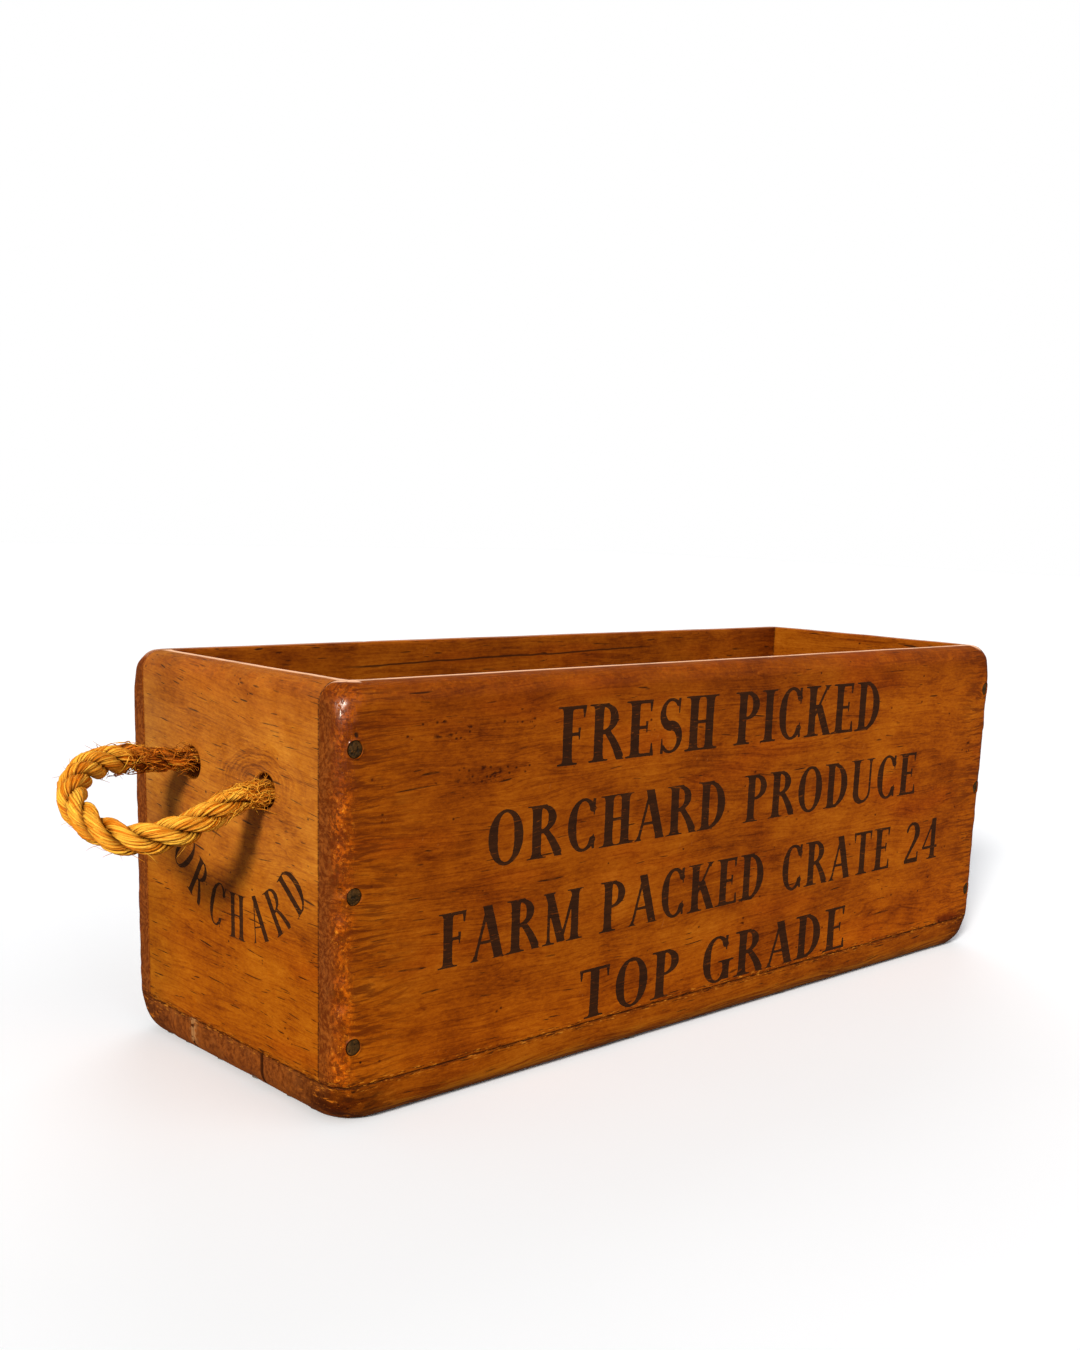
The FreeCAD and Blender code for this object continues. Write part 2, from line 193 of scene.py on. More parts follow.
def link(name, data):
    ob = bpy.data.objects.new(name, data)
    bpy.context.scene.collection.objects.link(ob)
    return ob


def give(ob, material):
    ob.data.materials.clear()
    ob.data.materials.append(material)


def new_mesh(name, verts, triangles, quads, attributes, face_attributes=()):
    """Smooth mesh from verts in mm. attributes: name -> value per vertex, one number or three."""
    loops = np.concatenate([triangles.ravel(), quads.ravel()])
    sizes = np.concatenate([np.full(len(triangles), 3), np.full(len(quads), 4)])
    starts = np.concatenate([[0], np.cumsum(sizes)[:-1]])
    me = bpy.data.meshes.new(name)
    me.vertices.add(len(verts))
    me.vertices.foreach_set("co", (verts * MM).astype(np.float32).ravel())
    me.loops.add(len(loops))
    me.loops.foreach_set("vertex_index", loops.astype(np.int32))
    me.polygons.add(len(sizes))
    me.polygons.foreach_set("loop_start", starts.astype(np.int32))
    me.polygons.foreach_set("loop_total", sizes.astype(np.int32))
    me.polygons.foreach_set("use_smooth", np.full(len(sizes), True))
    me.update(calc_edges=True)
    for key, values in attributes.items():
        values = np.asarray(values, np.float32)
        if values.ndim == 2:
            me.attributes.new(key, "FLOAT_VECTOR", "POINT").data.foreach_set(
                "vector", values.ravel())
        else:
            me.attributes.new(key, "FLOAT", "POINT").data.foreach_set("value", values)
    for key, values in dict(face_attributes).items():
        me.attributes.new(key, "FLOAT", "FACE").data.foreach_set(
            "value", np.asarray(values, np.float32))
    return link(name, me)


# ----------------------------------------------------------------------- noise
def lattice(ix, iy, iz, seed):
    """Repeatable random value in -1..1 for each whole-number point."""
    h = (ix.astype(np.int64) * 374761393 + iy.astype(np.int64) * 668265263
         + iz.astype(np.int64) * 1274126177 + seed * 974634777) & 0xFFFFFFFF
    h = ((h ^ (h >> 13)) * 1274126177) & 0xFFFFFFFF
    h = ((h ^ (h >> 16)) * 2246822519) & 0xFFFFFFFF
    h = h ^ (h >> 15)
    return (h & 0xFFFFFF).astype(np.float64) / 0xFFFFFF * 2.0 - 1.0


def vnoise(points, size, seed):
    """Smooth value noise in -1..1 of points (mm), with features of the given size (one or 3)."""
    q = np.asarray(points, float) / np.asarray(size, float) + 1000.0
    cell = np.floor(q).astype(np.int64)
    f = q - cell
    f = f * f * f * (f * (f * 6 - 15) + 10)
    out = np.zeros(len(q))
    for dx in (0, 1):
        wx = f[:, 0] if dx else 1 - f[:, 0]
        for dy in (0, 1):
            wy = f[:, 1] if dy else 1 - f[:, 1]
            for dz in (0, 1):
                wz = f[:, 2] if dz else 1 - f[:, 2]
                out += wx * wy * wz * lattice(cell[:, 0] + dx, cell[:, 1] + dy,
                                              cell[:, 2] + dz, seed)
    return out


def smooth(x):
    x = np.clip(x, 0.0, 1.0)
    return x * x * (3 - 2 * x)


# ------------------------------------------------------ rounding of the outside
def corner_radius(z):
    """Plan radius of the crate's vertical edges: it grows towards the eight corners."""
    return (R_VERT + 13.5 * smooth((24.0 - z) / 24.0) ** 1.2
            + 7.5 * smooth((z - (H - 22.0)) / 22.0) ** 1.2)


def pair_round(a, b):
    """a, b: how deep a point lies in the corner zone of two faces. Returns them on the arc."""
    both = (a > 0) & (b > 0)
    reach = np.hypot(a, b)
    k = np.where(both & (reach > 1e-9), np.maximum(a, b) / np.maximum(reach, 1e-9), 1.0)
    return a * k, b * k


def envelope(p):
    """Carries points of the plain block to the rounded-over crate."""
    p = np.array(p, float)
    x, y, z = p[:, 0].copy(), p[:, 1].copy(), p[:, 2].copy()
    sign_x, sign_y = np.where(x < 0, -1.0, 1.0), np.where(y < 0, -1.0, 1.0)
    # vertical edges
    r = corner_radius(z)
    a, b = np.abs(x) - (HX - r), np.abs(y) - (HY - r)
    both = (a > 0) & (b > 0)
    a2, b2 = pair_round(a, b)
    x = np.where(both, sign_x * (HX - r + a2), x)
    y = np.where(both, sign_y * (HY - r + b2), y)
    # distance to the outside and its direction in plan
    dx, dy = HX - np.abs(x), HY - np.abs(y)
    radial = np.hypot(np.maximum(a2, 1e-9), np.maximum(b2, 1e-9))
    inset = np.where(both, r - radial, np.minimum(dx, dy))
    nx = np.where(both, sign_x * a2 / radial, np.where(dx < dy, sign_x, 0.0))
    ny = np.where(both, sign_y * b2 / radial, np.where(dx < dy, 0.0, sign_y))
    # top and bottom edges
    for depth, radius, up in ((H - z, R_TOP, -1.0), (z, R_BOT, 1.0)):
        u, v = radius - inset, radius - depth
        u2, v2 = pair_round(u, v)
        hit = (u > 0) & (v > 0)
        x = np.where(hit, x - nx * (u - u2), x)
        y = np.where(hit, y - ny * (u - u2), y)
        z = np.where(hit, z + up * (v - v2), z)
    return np.stack([x, y, z], 1)


# ------------------------------------------------------------ dents and relief
def make_dents():
    """Dents shared by all boards: (x, y, z, radius, depth)."""
    rng = np.random.default_rng(7)
    dents = []
    for _ in range(150):                      # small knocks over the outside
        face = rng.integers(0, 5)
        x = rng.uniform(-HX, HX)
        y = rng.uniform(-HY, HY)
        z = rng.uniform(4, H)
        if face in (0, 1):
            y = -HY if face == 0 else HY
        elif face in (2, 3):
            x = -HX if face == 2 else HX
        else:
            z = H
        dents.append((x, y, z, rng.uniform(1.2, 3.6), rng.uniform(0.08, 0.38)))
    for _ in range(80):                       # dings along the rounded edges
        which = rng.integers(0, 3)
        sx, sy, sz = rng.choice([-1, 1], 3)
        edge_z = (H - 2) if sz > 0 else 2
        if which == 0:
            centre = (rng.uniform(-HX, HX), sy * (HY - 2), edge_z)
        elif which == 1:
            centre = (sx * (HX - 2), rng.uniform(-HY, HY), edge_z)
        else:
            centre = (sx * (HX - 2), sy * (HY - 2), rng.uniform(0, H))
        dents.append(centre + (rng.uniform(2.5, 7.0), rng.uniform(0.15, 0.75)))
    # the pinhole above the top left plug, and two nail holes
    return dents + [(-241.5, -HY, 172.0, 1.5, 1.3), (-239.0, -HY, 29.5, 0.9, 0.5),
                    (236.0, -HY, 181.0, 1.0, 0.6)]


DENTS = make_dents()


def relief(p):
    """How far the surface lies inside the plain rounded shape, and how near an outer edge it is."""
    depth = 0.16
    for amount, size, seed in ((0.22, (150, 60, 60), 3), (0.10, (46, 18, 18), 4),
                               (0.035, (14, 5, 5), 5), (0.018, (6, 2.2, 2.2), 6)):
        depth = depth + amount * vnoise(p, size, seed)
    dx, dy = HX - np.abs(p[:, 0]), HY - np.abs(p[:, 1])
    # near an outer edge two outer faces are within reach
    dist = np.sort(np.stack([dx, dy, np.minimum(p[:, 2], H - p[:, 2])], 1), axis=1)
    edge = smooth((12.0 - dist[:, 1]) / 12.0) * smooth((9.0 - dist[:, 0]) / 9.0)
    upright = (smooth((14.0 - np.minimum(dx, dy)) / 6.0)
               * smooth((14.0 - np.maximum(dx, dy)) / 6.0))
    edge = edge * (0.30 + 0.70 * upright)
    depth += edge * (0.30 + 0.30 * vnoise(p, 11.0, 8) + 0.22 * vnoise(p, 4.6, 9)
                     + 0.12 * vnoise(p, 2.4, 10))
    for x, y, z, r, dent in DENTS:
        near = np.nonzero((np.abs(p[:, 0] - x) < r) & (np.abs(p[:, 1] - y) < r)
                          & (np.abs(p[:, 2] - z) < r))[0]
        if len(near):
            q = ((p[near] - (x, y, z)) ** 2).sum(1) / (r * r)
            depth[near] += dent * np.clip(1 - q, 0, 1) ** 1.6
    return np.maximum(depth, 0.0), edge


# ------------------------------------------------------------- faces of a board
# Distances of the first grid lines from an end, by the kind of end.
LEADS = {
    "outer": [0, 0.9, 1.8, 2.7, 3.6, 4.6, 5.6, 6.7, 7.8, 9.0, 10.3, 11.8],
    "seam": [0, 0.14, 0.32, 0.6, 1.2],
    "rim": [0, 0.35, 0.8, 1.25, 1.8, 2.6],
}
PLANE = [(1, 2), (2, 0), (0, 1)]     # the two in-plane axes (a, b) of a face, by its own axis

# A round bore that opens on one face. a, b: centre in the plane. count: points round it.
# depth: None goes halfway through the board. rim: width of the eased rim.
Bore = namedtuple("Bore", "axis side a b radius count depth rim")


def axis_points(lo, hi, step, ends):
    """Grid lines along one axis, closer together towards both ends."""
    first, last = ([t for t in LEADS[kind] if t < 0.45 * (hi - lo)] for kind in ends)
    start, stop = lo + first[-1], hi - last[-1]
    n = max(1, int(round((stop - start) / step)))
    middle = np.linspace(start, stop, n + 1)[1:-1]
    return np.array([lo + t for t in first] + list(middle) + [hi - t for t in reversed(last)])


def marching(field, xs, ys):
    """Zero contour of field[iy, ix] as vertices (n, 2) and edges."""
    verts, edges, ids = [], [], {}

    def edge_point(key, p0, p1, f0, f1):
        if key not in ids:
            t = min(max(f0 / (f0 - f1), 0.04), 0.96)
            ids[key] = len(verts)
            verts.append((p0[0] + (p1[0] - p0[0]) * t, p0[1] + (p1[1] - p0[1]) * t))
        return ids[key]

    inside = field < 0
    first = inside[:-1, :-1]
    cells = np.argwhere((first != inside[1:, :-1]) | (first != inside[:-1, 1:])
                        | (first != inside[1:, 1:]))
    for iy, ix in cells:
        f = [field[iy, ix], field[iy, ix + 1], field[iy + 1, ix + 1], field[iy + 1, ix]]
        p = [(xs[ix], ys[iy]), (xs[ix + 1], ys[iy]),
             (xs[ix + 1], ys[iy + 1]), (xs[ix], ys[iy + 1])]
        keys = [("h", iy, ix), ("v", iy, ix + 1), ("h", iy + 1, ix), ("v", iy, ix)]
        cross = []
        for k in range(4):
            a, b = k, (k + 1) % 4
            if (f[a] < 0) != (f[b] < 0):
                if k in (2, 3):
                    a, b = b, a
                cross.append(edge_point(keys[k], p[a], p[b], f[a], f[b]))
        if len(cross) == 2:
            edges.append((cross[0], cross[1]))
        elif len(cross) == 4:
            if (sum(f) / 4 < 0) == (f[0] < 0):
                edges += [(cross[0], cross[1]), (cross[2], cross[3])]
            else:
                edges += [(cross[3], cross[0]), (cross[1], cross[2])]
    return np.array(verts, float).reshape(-1, 2), edges


def grid_points(columns, rows):
    grid_a, grid_b = np.meshgrid(columns, rows, indexing="ij")
    return np.stack([grid_a.ravel(), grid_b.ravel()], 1)


def plain_sheet(columns, rows):
    """Quads over a rectangle: points and faces."""
    na, nb = len(columns), len(rows)
    i, j = np.meshgrid(np.arange(na - 1), np.arange(nb - 1), indexing="ij")
    k = (i * nb + j).ravel()
    return grid_points(columns, rows), np.stack([k, k + nb, k + nb + 1, k + 1], 1)


def near_outline(points, outline, cell=0.42):
    """Which points sit almost on the outline."""
    taken = set(map(tuple, np.floor(outline / cell).astype(int)))
    keys = np.floor(points / cell).astype(int)
    close = np.zeros(len(points), bool)
    for da in (-1, 0, 1):
        for db in (-1, 0, 1):
            close |= np.fromiter(((k[0] + da, k[1] + db) in taken for k in keys), bool, len(keys))
    return close


def sample(field, xs, ys, points):
    """Bilinear sample of field[iy, ix]."""
    fx = np.clip((points[:, 0] - xs[0]) / (xs[1] - xs[0]), 0, len(xs) - 1.001)
    fy = np.clip((points[:, 1] - ys[0]) / (ys[1] - ys[0]), 0, len(ys) - 1.001)
    ix, iy = fx.astype(int), fy.astype(int)
    tx, ty = fx - ix, fy - iy
    return (field[iy, ix] * (1 - tx) * (1 - ty) + field[iy, ix + 1] * tx * (1 - ty)
            + field[iy + 1, ix] * (1 - tx) * ty + field[iy + 1, ix + 1] * tx * ty)


def cut_sheet(columns, rows, bores, ink):
    """Triangles over a rectangle with open circles and print outlines.

    Returns points, faces, which faces are printed, and the loop of points round each bore.
    """
    points = grid_points(columns, rows)
    border = np.zeros((len(columns), len(rows)), bool)
    border[[0, -1]] = True
    border[:, [0, -1]] = True
    border = border.ravel()
    keep = np.ones(len(points), bool)
    extra, edges, rounds, base = [], [], [], 0
    for bore in bores:
        away = np.hypot(points[:, 0] - bore.a, points[:, 1] - bore.b)
        keep &= (away > bore.radius + 0.35) | border
        k = np.arange(bore.count)
        t = k * 2 * math.pi / bore.count
        extra.append(np.stack([bore.a + bore.radius * np.cos(t),
                               bore.b + bore.radius * np.sin(t)], 1))
        edges += [(base + i, base + (i + 1) % bore.count) for i in range(bore.count)]
        rounds.append(base + k)
        base += bore.count
    if ink is not None:
        field, xs, ys, outline, outline_edges = ink
        extra.append(outline)
        edges += [(a + base, b + base) for a, b in outline_edges]
        keep &= ~near_outline(points, outline) | border
    points = np.vstack(extra + [points[keep]])
    verts, _, faces, origins, _, _ = delaunay_2d_cdt(
        [Vector(p) for p in points], edges, [], 0, 1e-6, True)
    verts = np.array([tuple(p) for p in verts], float)
    renumbered = np.full(len(points), -1)
    for new, olds in enumerate(origins):
        for old in olds:
            if old >= 0:
                renumbered[old] = new
    faces = np.array(faces, int)
    centres = verts[faces].mean(1)
    keep = np.ones(len(faces), bool)
    for bore in bores:
        away = np.hypot(centres[:, 0] - bore.a, centres[:, 1] - bore.b)
        keep &= away > bore.radius * math.cos(math.pi / bore.count)
    faces, centres = faces[keep], centres[keep]
    printed = np.zeros(len(faces), bool)
    if ink is not None:
        printed = sample(field, xs, ys, centres) < 0
    return verts, faces, printed, [renumbered[loop] for loop in rounds]


def bore_wall(bore, loop, lo, hi, start):
    """Rings from an open circle inwards. Returns vertices (numbered from start), bottom, quads."""
    a, b = PLANE[bore.axis]
    inward = 1.0 if bore.side == 0 else -1.0
    surface = (lo, hi)[bore.side][bore.axis]
    rim, neck, count = bore.rim, bore.radius - bore.rim, bore.count
    if bore.depth is None:
        depths = np.linspace(rim, (hi - lo)[bore.axis] / 2, 6)[1:]
    else:
        depths = np.linspace(rim, bore.depth, 3)[1:]
    stations = [(bore.radius - rim * 0.65, rim * 0.28), (neck, rim)]
    stations += [(neck, depth) for depth in depths]
    t = np.arange(count) * 2 * math.pi / count
    verts, rings = [], [loop]
    for radius, depth in stations:
        ring = np.zeros((count, 3))
        ring[:, bore.axis] = surface + inward * depth
        ring[:, a] = bore.a + radius * np.cos(t)
        ring[:, b] = bore.b + radius * np.sin(t)
        rings.append(start + len(verts) * count + np.arange(count))
        verts.append(ring)
    quads = np.vstack([np.stack([r0, np.roll(r0, -1), np.roll(r1, -1), r1], 1)
                       for r0, r1 in zip(rings, rings[1:])])
    bottom = np.zeros((0, 3), int)
    if bore.depth is not None:
        last, centre = rings[-1], start + len(verts) * count
        bottom = np.stack([last, np.roll(last, -1), np.full(count, centre)], 1)
        middle = np.zeros((1, 3))
        middle[0, bore.axis] = surface + inward * bore.depth
        middle[0, a], middle[0, b] = bore.a, bore.b
        verts.append(middle)
    if bore.side == 0:
        quads, bottom = quads[:, ::-1], bottom[:, ::-1]
    return np.vstack(verts), bottom, quads


# --------------------------------------------------------------------- a board
def weld(verts, tolerance=1e-4):
    """First copy of each separate vertex, and the new number of every vertex."""
    key = np.round(verts / tolerance).astype(np.int64)
    _, first, inverse = np.unique(key, axis=0, return_index=True, return_inverse=True)
    return first, inverse.reshape(-1)


def vertex_normals(p, triangles):
    """Unit normals at vertices, and the length of the sums they come from."""
    face = np.cross(p[triangles[:, 1]] - p[triangles[:, 0]],
                    p[triangles[:, 2]] - p[triangles[:, 0]])
    total = np.zeros_like(p)
    for k in range(3):
        np.add.at(total, triangles[:, k], face)
    length = np.linalg.norm(total, axis=1)
    return total / np.maximum(length, 1e-12)[:, None], length


def ease_edge(p, raw, lo, hi, ease):
    """Rounds one edge of the block in place. ease: (axis, side, axis, side, radius)."""
    axis_a, side_a, axis_b, side_b, radius = ease
    r = radius(raw) if callable(radius) else np.full(len(p), float(radius))
    u, v = (r - ((hi[axis] - p[:, axis]) if side else (p[:, axis] - lo[axis]))
            for axis, side in ((axis_a, side_a), (axis_b, side_b)))
    u2, v2 = pair_round(u, v)
    hit = (u > 0) & (v > 0)
    p[:, axis_a] += np.where(hit, (u - u2) * (-1 if side_a else 1), 0)
    p[:, axis_b] += np.where(hit, (v - v2) * (-1 if side_b else 1), 0)


def board(name, lo, hi, ends, step, grain, eases, hidden, bores=(), ink=None, pale=None):
    """One board of the crate.

    lo, hi: its plain block. ends: per axis, the kind of both ends. step: grid step per axis.
    grain: axis of the grain. eases: edges to round, with a radius or a function of points.
    hidden: function of points and face axis and side. ink: (face axis, side, print).
    pale: function of points, how far pale filler covers them.
    """
    axes = [axis_points(lo[k], hi[k], step[k], ends[k]) for k in range(3)]
    verts, tris, quads, printed, covered, open_loops = [], [], [], [], [], []
    base = 0
    for axis in range(3):
        a, b = PLANE[axis]
        for side in (0, 1):
            here = [bore for bore in bores if bore.axis == axis and bore.side == side]
            face_ink = ink[2] if ink is not None and ink[:2] == (axis, side) else None
            if here or face_ink is not None:
                flat, faces, marks, rounds = cut_sheet(axes[a], axes[b], here, face_ink)
                tris.append((faces if side else faces[:, ::-1]) + base)
                printed.append(marks)
                open_loops += [(bore, loop + base) for bore, loop in zip(here, rounds)]
            else:
                flat, faces = plain_sheet(axes[a], axes[b])
                quads.append((faces if side else faces[:, ::-1]) + base)
            p = np.zeros((len(flat), 3))
            p[:, axis] = hi[axis] if side else lo[axis]
            p[:, a], p[:, b] = flat[:, 0], flat[:, 1]
            verts.append(p)
            covered.append(hidden(p, axis, side))
            base += len(p)
    for bore, loop in open_loops:
        wall, bottom, wall_quads = bore_wall(bore, loop, lo, hi, base)
        verts.append(wall)
        covered.append(np.ones(len(wall), bool))
        tris.append(bottom)
        printed.append(np.zeros(len(bottom), bool))
        quads.append(wall_quads)
        base += len(wall)
    verts, covered = np.vstack(verts), np.concatenate(covered)
    first, inverse = weld(verts)
    tris = inverse[np.vstack(tris)] if tris else np.zeros((0, 3), int)
    quads = inverse[np.vstack(quads)]
    # a welded vertex is exposed if any of its copies is
    exposed = np.zeros(len(first), bool)
    np.logical_or.at(exposed, inverse, ~covered)

    raw = verts[first]
    p = raw.copy()
    for ease in eases:
        ease_edge(p, raw, lo, hi, ease)
    p = envelope(p)
    halves = np.vstack([tris, quads[:, [0, 1, 2]], quads[:, [0, 2, 3]]])
    # only exposed faces are pushed in
    normal, length = vertex_normals(p, halves[exposed[halves].all(1)])
    depth, edge = relief(p)
    depth = np.where(exposed & (length > 1e-9), depth, 0.0)
    p = p - normal * depth[:, None]

    # end grain shows where the surface faces along the grain
    normal, _ = vertex_normals(p, halves)
    end_grain = smooth((np.abs(normal[:, grain]) - 0.70) / 0.28)
    inside = (np.abs(raw[:, 0]) < X_IN + 0.2) & (np.abs(raw[:, 1]) < Y_IN + 0.2)
    crease = np.zeros(len(p))
    for k in range(3):
        for kind, dist in zip(ends[k], (raw[:, k] - lo[k], hi[k] - raw[:, k])):
            if kind == "seam":
                crease = np.maximum(crease, smooth((1.0 - dist) / 0.9))
    ink_values = np.concatenate(printed + [np.zeros(len(quads))])
    return new_mesh(name, p, tris, quads,
                    {"edge_wear": edge, "end_grain": end_grain, "inside": inside.astype(float),
                     "pale": pale(p) if pale else np.zeros(len(p)), "crease": crease},
                    {"ink": ink_values})


# --------------------------------------------------------------- printed letters
# Plain flared capitals built from strokes. A stroke is a function of u (along the row) and
# v (up, 0 at the foot and 1 at the top), negative inside the stroke.
THIN = 0.05
OUTSIDE = 9.0


def box(x0, x1, y0, y1):
    return lambda u, v: np.maximum(np.maximum(x0 - u, u - x1), np.maximum(y0 - v, v - y1))


def bar(x0, x1, y, thick=0.048):
    return box(x0, x1, y - thick / 2, y + thick / 2)


def stem(x, thick=0.170, y0=0.0, y1=1.0, low=True, high=True):
    """Upright stroke, flared with a thin plate at its low and high ends."""
    def stroke(u, v):
        half = np.full_like(u, thick / 2)
        for wanted, dist in ((low, v - y0), (high, y1 - v)):
            if wanted:
                half = half + 0.060 * np.exp(-np.clip(dist, 0, None) / 0.040)
                half = np.where(dist < 0.030, np.maximum(half, thick / 2 + 0.105), half)
        return np.maximum(np.abs(u - x) - half, np.maximum(y0 - v, v - y1))
    return stroke


def diagonal(x0, y0, x1, y1, thick):
    def stroke(u, v):
        x = x0 + (v - y0) * (x1 - x0) / (y1 - y0)
        return np.maximum(np.abs(u - x) - thick / 2,
                          np.maximum(min(y0, y1) - v, v - max(y0, y1)))
    return stroke


def brush(dabs):
    """Union of discs (x, y, radius)."""
    def stroke(u, v):
        out = np.full_like(u, OUTSIDE)
        for x, y, r in dabs:
            out = np.minimum(out, np.hypot(u - x, v - y) - r)
        return out
    return stroke


def arc(cx, cy, rx, ry, start, end, thick, n):
    """Part of an ellipse, thick at its sides and thin at its top and foot. Angles in degrees."""
    dabs = []
    for i in range(n + 1):
        a = math.radians(start + (end - start) * i / n)
        w = THIN + (thick - THIN) * abs(math.cos(a)) ** 1.7
        dabs.append((cx + (rx - w / 2) * math.cos(a), cy + (ry - w / 2) * math.sin(a), w / 2))
    return brush(dabs)


def bowl(cx, cy, rx, ry, thick):
    """Right half of an oval, cut off inside the stem."""
    half = arc(cx, cy, rx, ry, -92, 92, thick, 64)
    return lambda u, v: np.maximum(half(u, v), 0.20 - u)


def foot(x, y, half, up=True):
    """Flare at the end of a diagonal."""
    def stroke(u, v):
        d = (v - y) if up else (y - v)
        return np.maximum(np.abs(u - x) - half * np.exp(-np.clip(d, 0, None) / 0.032) - 0.012,
                          np.maximum(-d, d - 0.09))
    return stroke


def wedge(x, y0, y1, half):
    """Vertical wedge at the end of an arm, wide at y1."""
    def stroke(u, v):
        t = np.clip((v - y0) / (y1 - y0), 0, 1)
        return np.maximum(np.abs(u - x) - half * (0.25 + 0.75 * t),
                          np.maximum(min(y0, y1) - v, v - max(y0, y1)))
    return stroke


def r_leg():
    leg = brush([(0.36 + 0.24 * t + 0.02 * math.sin(3.1 * t), 0.49 - 0.42 * t, 0.052 + 0.026 * t)
                 for t in np.linspace(0, 1, 26)])
    return lambda u, v: np.maximum(leg(u, v), -v)


def u_base():
    return brush([(0.375 + 0.215 * math.cos(a), 0.25 + 0.235 * math.sin(a),
                   0.026 + 0.055 * max(0.0, -math.cos(a)) ** 0.8)
                  for a in np.radians(np.linspace(180, 360, 46))])


def s_curve():
    dabs = []
    for i in range(91):
        t = i / 90
        if t < 0.5:
            a = math.radians(38 + (t / 0.5) * 232)
            cx, cy, rx, ry = 0.29, 0.735, 0.185, 0.24
        else:
            a = math.radians(90 - ((t - 0.5) / 0.5) * 232)
            cx, cy, rx, ry = 0.285, 0.265, 0.20, 0.24
        r = 0.022 + 0.062 * math.exp(-((t - 0.5) / 0.16) ** 2) + 0.02 * abs(math.cos(a)) ** 2
        dabs.append((cx + rx * math.cos(a), cy + ry * math.sin(a), r))
    return brush(dabs)


def two_curve():
    dabs = []
    for i in range(40):
        a = math.radians(165 - 205 * i / 39)
        dabs.append((0.29 + 0.185 * math.cos(a), 0.735 + 0.225 * math.sin(a),
                     0.03 + 0.055 * max(0, math.cos(a)) ** 1.5))
    for i in range(24):
        t = i / 23
        dabs.append((0.435 - 0.35 * t, 0.585 - 0.53 * t, 0.06 - 0.03 * t))
    return brush(dabs)


TOP_ARMS = [stem(0.17), bar(0.17, 0.40, 0.52), wedge(0.40, 0.42, 0.62, 0.022)]
OPEN_ROUND = [wedge(0.60, 0.68, 0.99, 0.028)]

GLYPHS = {       # letter: (width, strokes), both for a cap height of 1
    " ": (0.34, []),
    "I": (0.30, [stem(0.15)]),
    "H": (0.70, [stem(0.17), stem(0.53), bar(0.17, 0.53, 0.52)]),
    "F": (0.56, TOP_ARMS + [bar(0.17, 0.50, 0.975), wedge(0.49, 0.80, 1.0, 0.035)]),
    "E": (0.60, [stem(0.17), bar(0.17, 0.51, 0.975), wedge(0.50, 0.80, 1.0, 0.035),
                 bar(0.17, 0.42, 0.52), wedge(0.42, 0.42, 0.62, 0.022),
                 bar(0.17, 0.54, 0.025), wedge(0.53, 0.22, 0.0, 0.037)]),
    "D": (0.72, [stem(0.17), bowl(0.24, 0.5, 0.42, 0.5, 0.18),
                 bar(0.17, 0.28, 0.975), bar(0.17, 0.28, 0.025)]),
    "P": (0.62, [stem(0.17), bowl(0.26, 0.735, 0.31, 0.265, 0.16),
                 bar(0.17, 0.29, 0.975), bar(0.17, 0.29, 0.495)]),
    "R": (0.70, [stem(0.17), bowl(0.26, 0.745, 0.30, 0.255, 0.155),
                 bar(0.17, 0.29, 0.975), bar(0.17, 0.32, 0.495), r_leg(),
                 foot(0.625, 0.0, 0.085)]),
    "O": (0.76, [arc(0.38, 0.5, 0.335, 0.515, 0, 360, 0.17, 110)]),
    "C": (0.70, OPEN_ROUND + [arc(0.38, 0.5, 0.325, 0.515, 42, 318, 0.17, 90),
                              wedge(0.60, 0.30, 0.02, 0.024)]),
    "G": (0.76, OPEN_ROUND + [arc(0.38, 0.5, 0.325, 0.515, 42, 312, 0.17, 90),
                              stem(0.60, 0.15, 0.03, 0.45, low=False)]),
    "U": (0.72, [stem(0.165, 0.155, y0=0.25, low=False), stem(0.592, THIN, y0=0.25, low=False),
                 u_base()]),
    "A": (0.70, [diagonal(0.09, 0.0, 0.345, 1.0, 0.052), diagonal(0.59, 0.0, 0.335, 1.0, 0.18),
                 bar(0.18, 0.50, 0.33), foot(0.09, 0, 0.085), foot(0.59, 0, 0.13)]),
    "M": (0.86, [stem(0.13, THIN), stem(0.72, 0.155), diagonal(0.42, 0.02, 0.13, 1.0, 0.17),
                 diagonal(0.42, 0.02, 0.70, 1.0, 0.055)]),
    "K": (0.70, [stem(0.17), diagonal(0.24, 0.40, 0.56, 1.0, 0.055),
                 diagonal(0.60, 0.0, 0.33, 0.62, 0.18), foot(0.60, 0, 0.13),
                 foot(0.56, 1.0, 0.085, up=False)]),
    "T": (0.66, [stem(0.33, 0.165, high=False), bar(0.05, 0.61, 0.975),
                 wedge(0.06, 0.78, 1.0, 0.032), wedge(0.60, 0.78, 1.0, 0.032)]),
    "S": (0.58, [s_curve(), wedge(0.465, 0.72, 0.99, 0.024), wedge(0.10, 0.28, 0.01, 0.026)]),
    "2": (0.60, [two_curve(), bar(0.07, 0.53, 0.05, 0.10), wedge(0.52, 0.0, 0.24, 0.025)]),
    "4": (0.62, [stem(0.42, 0.15, high=False), diagonal(0.06, 0.30, 0.42, 0.99, 0.055),
                 bar(0.05, 0.58, 0.29, 0.055)]),
}


def draw(letter, u, v):
    out = np.full_like(u, OUTSIDE)
    for stroke in GLYPHS[letter][1]:
        out = np.minimum(out, stroke(u, v))
    return out


FRONT_ROWS = [      # text, left and right x, baseline z, cap height
    ("FRESH PICKED", -127, 130, 149.0, 27.5),
    ("ORCHARD PRODUCE", -170, 173, 106.6, 25.0),
    ("FARM PACKED CRATE 24", -196, 203, 63.2, 25.2),
    ("TOP GRADE", -108, 112, 20.8, 25.2),
]
MIN_TRACK, MAX_STRETCH = 1.9, 1.36      # gap between letters, and widening of letters


